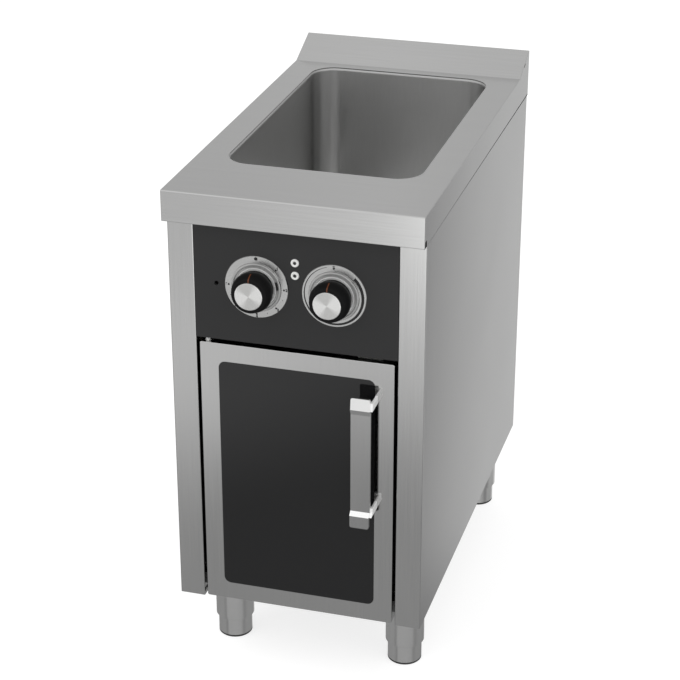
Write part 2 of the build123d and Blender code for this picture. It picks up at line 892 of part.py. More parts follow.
def make_control_panel():
    x = post_x - sheet_gap
    back = face_y + panel_sheet
    panel = block(-x, x, face_y, back, panel_z, panel_top_z)
    panel += block(-x, x, face_y, rail_y, panel_top_z - panel_sheet, panel_top_z)
    panel += block(-x, x, face_y, face_y + panel_return, panel_z, panel_z + panel_sheet)
    lower = panel.edges().filter_by(Axis.X).sort_by(Axis.Z)[:2].sort_by(Axis.Y)[0]
    panel = fillet(lower, panel_sheet / 2)
    holes = [(place, knob_z, 2 * shaft_radius) for place in knob_places.values()]
    holes += [(hx, hz, small_screw_radius + sheet_gap) for hx, hz in switch_screw_places()]
    holes += [(0, z, lamp_body_radius + slip_gap) for z in lamp_places()]
    holes.append((reset_x, reset_z, reset_hole_radius))
    for hx, hz, radius in holes:
        panel -= backward_rod(hx, face_y, hz, radius, panel_sheet)
    return panel - rod(hinge_x, hinge_y, panel_z, hinge_shank_radius + slip_gap, panel_sheet)


def make_dial_plate(x):
    rise = dial_collar_height - dial_seat_height
    hole = shaft_radius + 1
    outline = [
        (hole, dial_recess),
        (dial_recess_radius, dial_recess),
        (dial_recess_radius, 0),
        (dial_radius, 0),
        (dial_radius, dial_edge / 2),
        (dial_radius - dial_edge / 2, dial_edge),
        (dial_collar_radius, dial_edge),
        (dial_collar_radius - 1, dial_collar_height - rise / 4),
        (dial_collar_radius - 2, dial_collar_height),
        (dial_collar_radius - 3.5, dial_collar_height),
        (dial_collar_radius - 5, dial_seat_height),
        (dial_seat_radius + 2.7, dial_seat_height),
        (dial_seat_radius + 1.9, dial_collar_height),
        (dial_seat_radius + 0.7, dial_collar_height),
        (dial_seat_radius, dial_seat_height),
        (hole, dial_seat_height),
    ]
    return forward(x, knob_z, turned(outline))


def knob_bulge(proud):
    points = []
    for step in range(1, knob_swell_steps):
        share = step / knob_swell_steps
        radius = knob_radius - knob_draft * share + knob_swell * sin(pi * share)
        points.append((radius + proud, knob_skirt + (knob_shoulder - knob_skirt) * share))
    return points


def knob_outline(proud):
    # outside of the knob, from its back to its front, with an optional skin added
    return [
        (knob_radius - knob_foot_round / 2 + proud, knob_foot),
        (knob_radius + proud, knob_foot + knob_foot_round),
        (knob_radius + proud, knob_skirt),
        *knob_bulge(proud),
        (knob_front_radius + proud, knob_shoulder),
        (knob_front_radius - knob_bevel / 4 + proud, knob_shoulder + knob_bevel / 2 + proud),
        (knob_front_radius - knob_bevel + proud, knob_reach + proud),
    ]


def pointer_blank(x):
    half = pointer_width / 2
    inner = cap_radius + sheet_gap
    outer = knob_radius + knob_swell + 2
    return forward(x, knob_z, block(-half, half, inner, outer, pointer_back, knob_reach + 1))


def make_knob(x):
    seat = cap_radius + sheet_gap
    bore = shaft_radius + slip_gap
    outline = [(bore, knob_foot)] + knob_outline(0)
    outline += [(seat, knob_reach), (seat, cap_seat), (0, cap_seat)]
    outline += [(0, knob_bore_end), (bore, knob_bore_end)]
    return forward(x, knob_z, turned(outline)) - pointer_blank(x)


def make_pointer(x):
    envelope = knob_outline(pointer_proud) + [(0, knob_reach + pointer_proud), (0, knob_foot)]
    return pointer_blank(x) & forward(x, knob_z, turned(envelope))


def make_cap(x):
    front = cap_seat + cap_thickness
    outline = [
        (0, cap_seat),
        (cap_radius, cap_seat),
        (cap_radius, front - 0.9),
        (cap_radius - 0.25, front - 0.3),
        (cap_radius - 0.9, front),
        (0, front),
    ]
    return forward(x, knob_z, turned(outline))


def make_shaft(x):
    inside = panel_sheet + shaft_depth
    length = inside + knob_bore_end - 1
    return forward(x, knob_z, rod(0, 0, -inside, shaft_radius, length))


def make_switch(x):
    half = switch_size / 2
    back = face_y + panel_sheet
    body = block(x - half, x + half, back, back + switch_depth, knob_z - half, knob_z + half)
    body = fillet(body.edges().filter_by(Axis.Y), half / 6)
    body -= backward_rod(x, back, knob_z, shaft_radius + slip_gap, shaft_depth + 1)
    for hx, hz in switch_screw_places():
        body -= backward_rod(hx, back, hz, small_screw_radius + slip_gap, small_screw_length)
    return body


def capillary(start, row_y, turn_x, bulb_way):
    # thin tube from the back of a switch to a bulb lying along the basin's front wall
    x, y, z = start
    bulb_y = apron_y + well_front + rim_show - basin_sheet - bulb_radius - loose_gap
    bulb_x = turn_x + bulb_way * 2 * capillary_bend
    route = [start, (x, row_y, z), (turn_x, row_y, z), (turn_x, bulb_y, z), (bulb_x, bulb_y, z)]
    line = FilletPolyline(*route, radius=capillary_bend)
    tube = sweep(Plane(origin=start, z_dir=(0, 1, 0)) * Circle(capillary_radius), path=line)
    bulb = Rot(0, 90 * bulb_way, 0) * rod(0, 0, 0, bulb_radius, bulb_length)
    return tube + Pos(bulb_x, bulb_y, z) * bulb


def make_thermostat():
    x = knob_places["right"]
    start = (x, face_y + panel_sheet + switch_depth, knob_z + switch_size / 4)
    return make_switch(x) + capillary(start, face_y + capillary_row, 0, 1)


def make_limiter():
    back = face_y + panel_sheet
    x, z = limiter_width / 2, limiter_height / 2
    body = block(reset_x - x, reset_x + x, back, back + limiter_depth, reset_z - z, reset_z + z)
    body = fillet(body.edges().filter_by(Axis.Y), limiter_width / 12)
    bore = button_recess + button_length + button_travel + 1
    body -= backward_rod(reset_x, back, reset_z, button_radius + slip_gap, bore)
    start = (reset_x, back + limiter_depth, reset_z - limiter_height / 4)
    return body + capillary(start, face_y + capillary_row, -2 * capillary_bend, -1)


def make_button():
    y = face_y + panel_sheet + button_recess
    button = backward_rod(reset_x, y, reset_z, button_radius, button_length)
    return fillet(button.edges().sort_by(Axis.Y)[0], button_radius / 4)


def make_lamp_rings():
    hole = lamp_lens_radius + slip_gap
    outline = [
        (hole, 0),
        (lamp_radius, 0),
        (lamp_radius, 1.2),
        (lamp_radius - 0.5, 2.2),
        (lamp_radius - 1.4, 2.7),
        (lamp_radius - 2.2, 2.7),
        (hole, 2.1),
    ]
    return group(forward(0, z, turned(outline)) for z in lamp_places())


def make_lamp_lenses():
    outline = [
        (0, -panel_sheet),
        (lamp_lens_radius, -panel_sheet),
        (lamp_lens_radius, 0.9),
        (lamp_lens_radius * 0.8, 1.4),
        (lamp_lens_radius * 0.4, 1.8),
        (0, 1.9),
    ]
    return group(forward(0, z, turned(outline)) for z in lamp_places())


def make_lamp_bodies():
    outline = [
        (0, -lamp_body_length),
        (lamp_body_radius, -lamp_body_length),
        (lamp_body_radius, -panel_sheet - lamp_nut_height),
        (lamp_nut_radius, -panel_sheet - lamp_nut_height),
        (lamp_nut_radius, -panel_sheet),
        (lamp_body_radius, -panel_sheet),
        (lamp_body_radius, 0),
        (lamp_lens_radius + slip_gap, 0),
        (lamp_lens_radius + slip_gap, -panel_sheet),
        (0, -panel_sheet),
    ]
    return group(forward(0, z, turned(outline)) for z in lamp_places())


def make_small_screws():
    head = Cylinder(small_screw_head, small_screw_head_height, align=upright)
    head = fillet(head.edges().sort_by(Axis.Z)[-1], small_screw_head_height / 2)
    head -= Pos(0, 0, small_screw_head_height) * cross_recess(small_screw_head)
    shank = Pos(0, 0, -small_screw_length)
    screw = head + shank * Cylinder(small_screw_radius, small_screw_length, align=upright)
    screws = [forward(x, z, screw) for x, z in switch_screw_places()]
    for side in (-1, 1):
        for z in rear_screw_rows():
            place = Pos(side * (side_x - rear_flange / 2), rear_y, z)
            screws.append(place * Rot(-90, 0, 0) * screw)
    return group(screws)


# Services


def make_terminal_block():
    length, width, height = terminal_size
    low = floor_z + body_sheet
    y = service_y - width - gland_across
    body = Pos(gland_x, y, low) * Box(length, width, height, align=upright)
    body = chamfer(body.faces().sort_by(Axis.Z)[-1].edges().filter_by(Axis.X), height / 4)
    pitch = length / terminal_poles
    for i in range(terminal_poles):
        x = gland_x + pitch * (i - (terminal_poles - 1) / 2)
        body -= rod(x, y, low + height / 2, terminal_screw_radius, height / 2)
    return body


def make_gland():
    seat = floor_z + body_sheet
    hex_z = floor_z - gland_hex_height
    body = hexagon(gland_x, service_y, hex_z, gland_across, gland_hex_height)
    thread = gland_nut_height + body_sheet
    body += rod(gland_x, service_y, floor_z, gland_radius, thread)
    nut = hexagon(gland_x, service_y, seat, gland_across, gland_nut_height)
    nut -= rod(gland_x, service_y, seat, gland_radius + slip_gap, gland_nut_height)
    cap = rod(gland_x, service_y, hex_z - gland_cap_height, gland_across / 2 - 1, gland_cap_height)
    cap = fillet(cap.edges().sort_by(Axis.Z)[0], gland_cap_height / 3)
    bore = rod(gland_x, service_y, hex_z - gland_cap_height, gland_bore, top_z)
    return group([body - bore, nut, cap - bore])


def make_earth_terminal():
    seat = floor_z + body_sheet
    nut_z = floor_z - nut_height
    stud = hexagon(earth_x, service_y, seat, earth_across, nut_height)
    stud += rod(earth_x, service_y, nut_z, earth_shank_radius, seat - nut_z)
    stud += rod(earth_x, service_y, floor_z - earth_length, stud_radius, earth_length)
    nut = hexagon(earth_x, service_y, nut_z, earth_across, nut_height)
    nut -= rod(earth_x, service_y, nut_z, earth_shank_radius + slip_gap, nut_height)
    return group([stud, nut])


# Door


def make_hinge_pin():
    head = shelf_z + body_sheet
    tip = door_top_z - hinge_engagement
    outline = [
        (0, tip),
        (hinge_pin_radius, tip),
        (hinge_pin_radius, door_top_z + loose_gap),
        (hinge_cone_radius, panel_z),
        (hinge_shank_radius, panel_z),
        (hinge_shank_radius, head),
        (2 * hinge_shank_radius, head),
        (2 * hinge_shank_radius, head + hinge_shank_radius),
        (0, head + hinge_shank_radius),
    ]
    return Pos(hinge_x, hinge_y, 0) * turned(outline)


def make_hinge_bracket():
    low = floor_z - foot_plate_sheet
    front = hinge_y - bush_radius + 1
    plate = block(
        hinge_x - bracket_left, hinge_x + bracket_right, front, hinge_y + bracket_reach, low, floor_z
    )
    plate = fillet(plate.edges().filter_by(Axis.Z), foot_plate_sheet)
    plate += rod(hinge_x, hinge_y, floor_z, hinge_pin_radius, door_bottom_z + hinge_engagement - floor_z)
    for x, y in bracket_screw_places():
        plate -= rod(x, y, low, base_screw_radius + slip_gap, foot_plate_sheet)
    return plate


def bush_places():
    return [door_top_z - bush_length, door_bottom_z]


def leg_places():
    # middle height of each leg, and of its screw
    upper = handle_top_z - upper_leg_top - leg_height / 2
    lower = handle_bottom_z + lower_leg_bottom + leg_height / 2
    return [upper, lower]


def make_door_skin():
    skin = door_slab(2 * door_x, door_height, door_corner, 0, door_thickness - door_sheet)
    front = skin.faces().sort_by(Axis.Y)[0]
    skin = fillet(front.edges(), door_bend)
    inside = 2 * door_sheet
    skin -= door_slab(
        2 * door_x - inside, door_height - inside, door_corner - door_sheet, door_sheet, door_thickness
    )
    edge = 2 * door_border
    skin -= door_slab(2 * door_x - edge, door_height - edge, glass_corner, 0, door_sheet)
    for z in (door_top_z - door_sheet, door_bottom_z):
        skin -= rod(hinge_x, hinge_y, z, bush_radius + slip_gap, door_sheet)
    for z in leg_places():
        skin -= backward_rod(leg_x, face_y, z, handle_screw_radius + sheet_gap, door_sheet)
    return skin


def glass_slab(gap, y0, y1):
    edge = 2 * (door_border + gap)
    return door_slab(2 * door_x - edge, door_height - edge, glass_corner - gap, y0, y1)


def make_glass():
    return glass_slab(glass_gap, 0, glass_thickness)


def make_core():
    inside = 2 * (door_sheet + sheet_gap)
    back = door_thickness - door_sheet
    core = door_slab(2 * door_x - inside, door_height - inside, door_corner, door_sheet, back)
    core -= glass_slab(0, door_sheet, glass_thickness)
    for z in bush_places():
        core -= rod(hinge_x, hinge_y, z - 1, bush_radius + slip_gap, bush_length + 2)
    for z in leg_places():
        core -= backward_rod(leg_x, face_y, z, handle_screw_radius + loose_gap, door_thickness)
    return core


def make_liner():
    liner = door_slab(2 * door_x, door_height, door_corner, door_thickness - door_sheet, door_thickness)
    for z in leg_places():
        liner -= backward_rod(leg_x, door_back_y - door_sheet, z, handle_screw_radius + sheet_gap, door_sheet)
    return liner


def make_bushes():
    bushes = []
    for z in bush_places():
        bush = rod(hinge_x, hinge_y, z, bush_radius, bush_length)
        bushes.append(bush - rod(hinge_x, hinge_y, z, hinge_pin_radius + slip_gap, bush_length))
    return group(bushes)


def make_magnet():
    y = door_back_y + loose_gap
    magnet = block(
        handle_x - magnet_width / 2,
        handle_x + magnet_width / 2,
        y,
        y + magnet_depth,
        door_top_z - magnet_overlap,
        shelf_z,
    )
    return fillet(magnet.edges().filter_by(Axis.Y).sort_by(Axis.Z)[:2], magnet_depth / 6)


def handle_line():
    # front line of the bent plate, from its lower end up, as (depth, height)
    lower = face_y - handle_reach
    bar = lower + handle_step
    upper = bar - handle_upper_step
    return [
        (lower, handle_bottom_z),
        (lower, handle_bottom_z + handle_lower_tab),
        (bar, handle_bottom_z + handle_lower_tab + handle_slope),
        (bar, handle_top_z - handle_upper_tab - handle_upper_slope),
        (upper, handle_top_z - handle_upper_tab),
        (upper + handle_lean, handle_top_z),
    ]


def handle_front(z):
    line = handle_line()
    for (start_y, start_z), (end_y, end_z) in zip(line, line[1:]):
        if start_z <= z <= end_z:
            return start_y + (end_y - start_y) * (z - start_z) / (end_z - start_z)


def handle_blank():
    outline = strip(list(reversed(handle_line())), handle_sheet)
    plate = extrude(Plane.YZ * outline, handle_width / 2, both=True)
    return Pos(handle_x, 0, 0) * plate


def make_handle_plate():
    plate = handle_blank()
    ends = plate.edges().filter_by(lambda e: abs(e.length - handle_sheet) < sheet_gap)
    plate = fillet(ends, handle_corner)
    front = []
    for y, z in (handle_line()[0], handle_line()[-1]):
        for edge in plate.edges():
            middle = edge @ 0.5
            if abs(middle.Z - z) < handle_sheet / 4 and middle.Y < y + 1:
                front.append(edge)
    return fillet(front, handle_sheet / 6)


def leg_front(z):
    low, high = z - leg_height / 2, z + leg_height / 2
    bends = [point for point in handle_line() if low < point[1] < high]
    line = [(handle_front(low), low), *bends, (handle_front(high), high)]
    return [(y + leg_setback, height) for y, height in line]


def leg_slab(front, back, left, right):
    outline = make_face(Polyline(*front, *reversed(back), close=True))
    return Pos(left, 0, 0) * extrude(Plane.YZ * outline, right - left)


def make_handle_legs():
    # each leg is a bar standing on the door's frame, with a lug welded behind the plate's right edge
    legs = []
    left, right = leg_x - leg_width / 2, leg_x + leg_width / 2
    lug_left = handle_x + handle_width / 2 - leg_lug_width
    lug_depth = handle_sheet - leg_setback + leg_lug
    for z in leg_places():
        front = leg_front(z)
        foot = [(face_y, front[0][1]), (face_y, front[-1][1])]
        bar = leg_slab(front, foot, left, right)
        bar = fillet(bar.edges().filter_by(Axis.Y), leg_edge)
        lug = leg_slab(front, [(y + lug_depth, height) for y, height in front], lug_left, leg_x)
        leg = bar + (lug - handle_blank())
        start = face_y - handle_screw_bite
        radius = handle_screw_radius + slip_gap
        legs.append(leg - backward_rod(leg_x, start, z, radius, handle_screw_bite))
    return group(legs)


def make_handle_screws():
    screws = []
    for z in leg_places():
        start = face_y - handle_screw_bite + 1
        screw = backward_rod(leg_x, start, z, handle_screw_radius, door_back_y - start)
        head = backward_rod(leg_x, door_back_y, z, handle_screw_head, handle_screw_head_height)
        head = fillet(head.edges().sort_by(Axis.Y)[-1], handle_screw_head_height / 2)
        top = Pos(leg_x, door_back_y + handle_screw_head_height, z)
        head -= top * Rot(-90, 0, 0) * cross_recess(handle_screw_head)
        screws.append(screw + head)
    return group(screws)


# The finished assembly, one entry for each node

nodes = {
    "worktop": make_worktop(),
    "well_basin": make_basin(),
    "heating_element": make_element(),
    "element_clamps": make_clamps(),
    "stud_nuts": make_stud_nuts(),
    "heat_shield": make_shield(),
    "insulation_pad": make_pad(),
    "drain_strainer": make_strainer(),
    "drain_gasket": make_gasket(),
    "drain_locknut": make_locknut(),
    "drain_pipe": make_drain_pipe(),
    "drain_valve_body": make_valve_body(),
    "drain_valve_ball": make_valve_ball(),
    "drain_valve_lever": make_lever(),
    "drain_outlet": make_outlet(),
    "side_panel_left": make_side_panel(-1),
    "side_panel_right": make_side_panel(1),
    "back_panel": make_back_panel(),
    "base_panel": make_base_panel(),
    "cross_rails": make_rails(),
    "control_shelf": make_shelf(),
    "foot_sleeves": group(make_sleeve(x, y) for x, y in foot_places().values()),
    "base_screws": make_base_screws(),
    "control_panel": make_control_panel(),
    "power_regulator": make_switch(knob_places["left"]),
    "thermostat": make_thermostat(),
    "safety_limiter": make_limiter(),
    "reset_button": make_button(),
    "lamp_rings": make_lamp_rings(),
    "lamp_lenses": make_lamp_lenses(),
    "lamp_bodies": make_lamp_bodies(),
    "panel_screws": make_small_screws(),
    "terminal_block": make_terminal_block(),
    "cable_gland": make_gland(),
    "earth_terminal": make_earth_terminal(),
    "hinge_pin_upper": make_hinge_pin(),
    "hinge_bracket_lower": make_hinge_bracket(),
    "door_magnet": make_magnet(),
    "door_skin": make_door_skin(),
    "door_glass": make_glass(),
    "door_core": make_core(),
    "door_liner": make_liner(),
    "door_bushes": make_bushes(),
    "handle_plate": make_handle_plate(),
    "handle_legs": make_handle_legs(),
    "handle_screws": make_handle_screws(),
}
for name, (x, y) in foot_places().items():
    nodes[name] = make_foot(x, y)
for side, x in knob_places.items():
    nodes[f"dial_plate_{side}"] = make_dial_plate(x)
    nodes[f"knob_{side}"] = make_knob(x)
    nodes[f"knob_cap_{side}"] = make_cap(x)
    nodes[f"knob_pointer_{side}"] = make_pointer(x)
    nodes[f"knob_shaft_{side}"] = make_shaft(x)

os.makedirs("parts", exist_ok=True)
for name, shape in nodes.items():
    export_step(shape, f"parts/{name}.step")
print(len(nodes), "nodes written")
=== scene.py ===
import bpy
import bmesh
import json
import math
from mathutils import Matrix, Vector


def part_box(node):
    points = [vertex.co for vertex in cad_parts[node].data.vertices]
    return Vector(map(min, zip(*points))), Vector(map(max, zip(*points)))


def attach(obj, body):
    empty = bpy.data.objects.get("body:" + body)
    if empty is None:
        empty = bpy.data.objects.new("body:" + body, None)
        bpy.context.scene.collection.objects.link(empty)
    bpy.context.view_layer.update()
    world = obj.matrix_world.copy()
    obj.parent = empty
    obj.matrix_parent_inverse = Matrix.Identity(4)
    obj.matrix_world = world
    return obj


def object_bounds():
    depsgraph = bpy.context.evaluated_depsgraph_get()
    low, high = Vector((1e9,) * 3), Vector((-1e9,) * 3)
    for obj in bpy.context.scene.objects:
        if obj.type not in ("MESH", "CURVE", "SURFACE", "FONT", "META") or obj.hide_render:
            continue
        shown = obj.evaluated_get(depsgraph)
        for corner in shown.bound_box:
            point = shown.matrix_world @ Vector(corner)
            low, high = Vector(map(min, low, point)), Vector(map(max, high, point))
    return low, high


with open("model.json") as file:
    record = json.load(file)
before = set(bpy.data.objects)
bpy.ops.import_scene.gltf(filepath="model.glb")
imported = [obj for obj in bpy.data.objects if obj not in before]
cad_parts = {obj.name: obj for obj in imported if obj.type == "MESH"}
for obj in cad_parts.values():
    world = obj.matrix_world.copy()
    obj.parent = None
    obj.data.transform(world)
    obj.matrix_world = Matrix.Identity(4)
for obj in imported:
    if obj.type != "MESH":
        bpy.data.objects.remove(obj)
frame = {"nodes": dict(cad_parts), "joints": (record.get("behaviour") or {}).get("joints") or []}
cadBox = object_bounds()
nodes = frame["nodes"]
scene = bpy.context.scene
scene.view_settings.view_transform = "Standard"
print("bain-marie: loaded", len(nodes), "nodes")

shot = {
    "place": (0.81282, -2.90427, 1.86115),
    "azimuth": 16.195,
    "elevation": 25.019,
    "lens": 105.11,
    "sensor": 36,
    "farthest": 200,
}

cameraData = bpy.data.cameras.new("camera")
cameraData.lens = shot["lens"]
cameraData.sensor_width = shot["sensor"]
cameraData.clip_end = shot["farthest"]
camera = bpy.data.objects.new("camera", cameraData)
camera.location = shot["place"]
camera.rotation_euler = (math.radians(90 - shot["elevation"]), 0, math.radians(shot["azimuth"]))
scene.collection.objects.link(camera)
scene.camera = camera
print("camera set")

# the kinds of noise in the finishes
texture = {
    "streak": {"Detail": 6.0, "Roughness": 0.62},
    "sheen": {"Detail": 3.0, "Roughness": 0.55},
    "skin": {"Detail": 3.0, "Roughness": 0.55},
    "cloud": {"Detail": 3.0, "Roughness": 0.5},
    "grain": {"Detail": 4.0, "Roughness": 0.6},
    "ring": {"Detail": 4.0, "Roughness": 0.7},
    "fibre": {"Detail": 8.0, "Roughness": 0.7},
}


class Wire:
    # an output socket; arithmetic on it adds Math nodes
    def __init__(self, desk, socket):
        self.desk = desk
        self.socket = socket

    def combine(self, operation, first, second):
        return self.desk.node("Math", {"operation": operation}, {0: first, 1: second})

    def __add__(self, other):
        return self.combine("ADD", self, other)

    def __radd__(self, other):
        return self.combine("ADD", other, self)

    def __sub__(self, other):
        return self.combine("SUBTRACT", self, other)

    def __rsub__(self, other):
        return self.combine("SUBTRACT", other, self)

    def __mul__(self, other):
        return self.combine("MULTIPLY", self, other)

    def __rmul__(self, other):
        return self.combine("MULTIPLY", other, self)

    def __truediv__(self, other):
        return self.combine("DIVIDE", self, other)

    def __rtruediv__(self, other):
        return self.combine("DIVIDE", other, self)


class Desk:
    # a node tree that a finish, the floor or the world is built on
    def __init__(self, tree):
        self.tree = tree
        self.tree.nodes.clear()

    def node(self, kind, settings, sockets, out=0):
        made = self.tree.nodes.new("ShaderNode" + kind)
        for key, value in settings.items():
            setattr(made, key, value)
        for key, value in sockets.items():
            if isinstance(value, Wire):
                self.tree.links.new(value.socket, made.inputs[key])
            else:
                made.inputs[key].default_value = value
        return Wire(self, made.outputs[out]) if made.outputs else None

    def place(self, scale=(1, 1, 1), middle=(0, 0, 0)):
        spot = self.node("TexCoord", {}, {}, "Object")
        shift = [-size * centre for size, centre in zip(scale, middle)]
        return self.node("Mapping", {}, {"Vector": spot, "Scale": scale, "Location": shift})

    def split(self, vector):
        return [self.node("SeparateXYZ", {}, {0: vector}, axis) for axis in range(3)]

    def height(self):
        return self.split(self.place())[2]

    def noise(self, kind, vector, scale=1.0):
        return self.node("TexNoise", {}, {"Vector": vector, "Scale": scale, **texture[kind]})

    def spread(self, value, low, high, start, end):
        # low..high becomes start..end, with soft ends
        sockets = {"Value": value, "From Min": low, "From Max": high, "To Min": start, "To Max": end}
        return self.node("MapRange", {"interpolation_type": "SMOOTHSTEP"}, sockets)

    def step(self, value, edge, soft, start, end):
        return self.spread(value, edge - soft, edge + soft, start, end)

    def blend(self, factor, first, second):
        # a colour is three numbers or a wire
        first, second = [tone if isinstance(tone, Wire) else (*tone, 1) for tone in (first, second)]
        return self.node("Mix", {"data_type": "RGBA"}, {0: factor, 6: first, 7: second}, 2)

    def bump(self, height, look):
        sockets = {"Height": height, "Distance": look["relief"], "Strength": look["strength"]}
        return self.node("Bump", {}, sockets)

    def close(self, sockets, height, look):
        shader = self.node("BsdfPrincipled", {}, {**sockets, "Normal": self.bump(height, look)})
        self.node("OutputMaterial", {}, {"Surface": shader})


def newFinish(name):
    material = bpy.data.materials.new(name)
    material.use_nodes = True
    return material, Desk(material.node_tree)


def between(first, second, share):
    return first + (second - first) * share


def swing(noise, amount):
    # noise runs from 0 to 1, so this is half of the amount either way
    return (noise - 0.5) * amount


def shade(tone, share):
    return tuple(part * share for part in tone)


def vary(look):
    # the darkest and palest a finish gets
    return shade(look["tone"], 1 - look["contrast"]), shade(look["tone"], 1 + look["contrast"])


def coat(material, *names):
    for name in names:
        data = nodes[name].data
        data.materials.clear()
        data.materials.append(material)


# studio: pale surroundings as the steel shows them, darker low down and bright high in front;
# an edge is the stretch of a direction over which one tone gives way to the next
world = bpy.data.worlds.new("studio")
scene.world = world
world.use_nodes = True
desk = Desk(world.node_tree)
wayX, wayY, wayZ = desk.split(desk.node("TexCoord", {}, {}, "Generated"))
turn = wayX / wayY

# low in front: a dark strip of floor that dips darker towards its sides, then turns paler
strip = {
    "tone": 0.375,
    "dip": 0.68,
    "side": 0.86,
    "leftDipEdge": (-0.54, -0.40),
    "leftSideEdge": (-0.72, -0.56),
    "rightDipEdge": (0.70, 0.84),
    "rightSideEdge": (0.86, 0.95),
}
paler = strip["side"] - strip["dip"]
left = desk.spread(wayX, *strip["leftDipEdge"], strip["dip"], 1)
left = left + desk.spread(wayX, *strip["leftSideEdge"], paler, 0)
right = desk.spread(wayX, *strip["rightDipEdge"], 1, strip["dip"])
right = right + desk.spread(wayX, *strip["rightSideEdge"], 0, paler)
lowFront = left * right * strip["tone"]

# above the strip: a pale wall, with one run of tones for the apron and one for the posts
wall = {
    "turnEdge": (0.27, 0.40),
    "apron": (0.86, 0.70),
    "apronGlint": 0.70,
    "apronEdge": (-0.43, -0.37),
    "post": (0.72, 0.84),
    "postGlint": 0.12,
    "glintEdge": (0.236, 0.254),
}
glint = desk.spread(turn, *wall["glintEdge"], 1, 0)
apron = desk.spread(turn, *wall["turnEdge"], *wall["apron"]) + glint * wall["apronGlint"]
post = desk.spread(turn, *wall["turnEdge"], *wall["post"]) + glint * wall["postGlint"]
wallFront = between(post, apron, desk.spread(wayZ, *wall["apronEdge"], 0, 1))

# the step up from the strip to the wall, which is higher towards the ends
rise = {
    "edge": (-0.50, -0.44),
    "shift": (0.002, -0.010),
    "shiftEdge": (-0.33, -0.20),
    "endsHigher": 0.12,
    "leftEnd": (-0.75, -0.52),
    "rightEnd": (0.52, 0.75),
}
stepZ = wayZ + desk.spread(wayX, *rise["shiftEdge"], *rise["shift"])
stepZ = stepZ - desk.spread(wayX, *rise["leftEnd"], rise["endsHigher"], 0)
stepZ = stepZ - desk.spread(wayX, *rise["rightEnd"], 0, rise["endsHigher"])
front = between(lowFront, wallFront, desk.spread(stepZ, *rise["edge"], 0, 1))

# low behind: clear, with a shaded stretch, and darker near the floor
rear = {
    "clear": 0.65,
    "shade": 0.20,
    "shadeStart": (0.212, 0.250),
    "shadeEnd": (0.29, 0.36),
    "floor": 0.22,
    "floorEdge": (-0.57, -0.50),
    "endsEdge": (0.12, 0.30),
    "endsPaler": 0.08,
    "endsHigher": 0.06,
}
shaded = desk.spread(turn, *rear["shadeStart"], 0, 1) * desk.spread(turn, *rear["shadeEnd"], 1, 0)
back = rear["clear"] - shaded * (rear["clear"] - rear["shade"])
ends = desk.spread(wayX * wayX, *rear["endsEdge"], 0, 1)
lowBack = rear["floor"] + ends * rear["endsPaler"]
backZ = wayZ - ends * rear["endsHigher"]
back = between(lowBack, back, desk.spread(backZ, *rear["floorEdge"], 0, 1))

# above: bright in front, softer behind
sky = {
    "frontNear": 1.05,
    "front": 0.90,
    "frontEdge": (0.10, 0.20),
    "top": 1.05,
    "topEdge": (0.70, 0.80),
    "backLow": 0.60,
    "backHigh": 0.735,
    "backEdge": (0.36, 0.75),
    "right": 1.07,
    "rightEdge": (-0.33, -0.24),
    "far": 0.945,
    "farEdge": (-0.235, -0.205),
}
frontSky = desk.spread(wayZ, *sky["frontEdge"], sky["frontNear"], sky["front"])
frontSky = frontSky + desk.spread(wayZ, *sky["topEdge"], 0, sky["top"] - sky["front"])
backSky = desk.spread(wayZ, *sky["backEdge"], sky["backLow"], sky["backHigh"])
backSky = backSky * desk.spread(wayX, *sky["rightEdge"], 1, sky["right"])
backSky = backSky * desk.spread(wayX, *sky["farEdge"], 1, sky["far"])

# where front meets back and low meets high, and the tone straight below
seams = {
    "behind": (-0.20, 0.15),
    "frontHorizon": (-0.31, -0.22),
    "backHorizon": (-0.12, 0.02),
    "deep": 0.42,
    "deepEdge": (-0.92, -0.72),
}
behind = desk.spread(wayY, *seams["behind"], 0, 1)
below = between(front, back, behind)
below = between(seams["deep"], below, desk.spread(wayZ, *seams["deepEdge"], 0, 1))
above = between(frontSky, backSky, behind)
frontHigh = desk.spread(wayZ, *seams["frontHorizon"], 0, 1)
backHigh = desk.spread(wayZ, *seams["backHorizon"], 0, 1)
glow = between(below, above, between(frontHigh, backHigh, behind))
seen = desk.node("LightPath", {}, {}, "Is Camera Ray")
glow = between(glow, 1, seen)  # plain white behind the object
background = desk.node("Background", {}, {"Color": (1, 1, 1, 1), "Strength": glow})
desk.node("OutputWorld", {}, {"Surface": background})

lamps = {
    "key": {"place": (-1.9, -2.4, 3.1), "aim": (0, 0, 0.5), "size": 3.0, "power": 36},
    "fill": {"place": (2.6, -1.6, 2.2), "aim": (0, 0, 0.4), "size": 3.0, "power": 14},
}
for lampName, lamp in lamps.items():
    lampData = bpy.data.lights.new(lampName, "AREA")
    lampData.size = lamp["size"]
    lampData.energy = lamp["power"]
    lampObject = bpy.data.objects.new(lampName, lampData)
    lampObject.location = lamp["place"]
    heading = Vector(lamp["aim"]) - Vector(lamp["place"])
    lampObject.rotation_euler = heading.to_track_quat("-Z", "Y").to_euler()
    lampObject.visible_glossy = False
    scene.collection.objects.link(lampObject)

floorLook = {"side": 40.0, "cells": 8, "glow": 0.76, "shadow": 0.40, "bounce": 0.75}

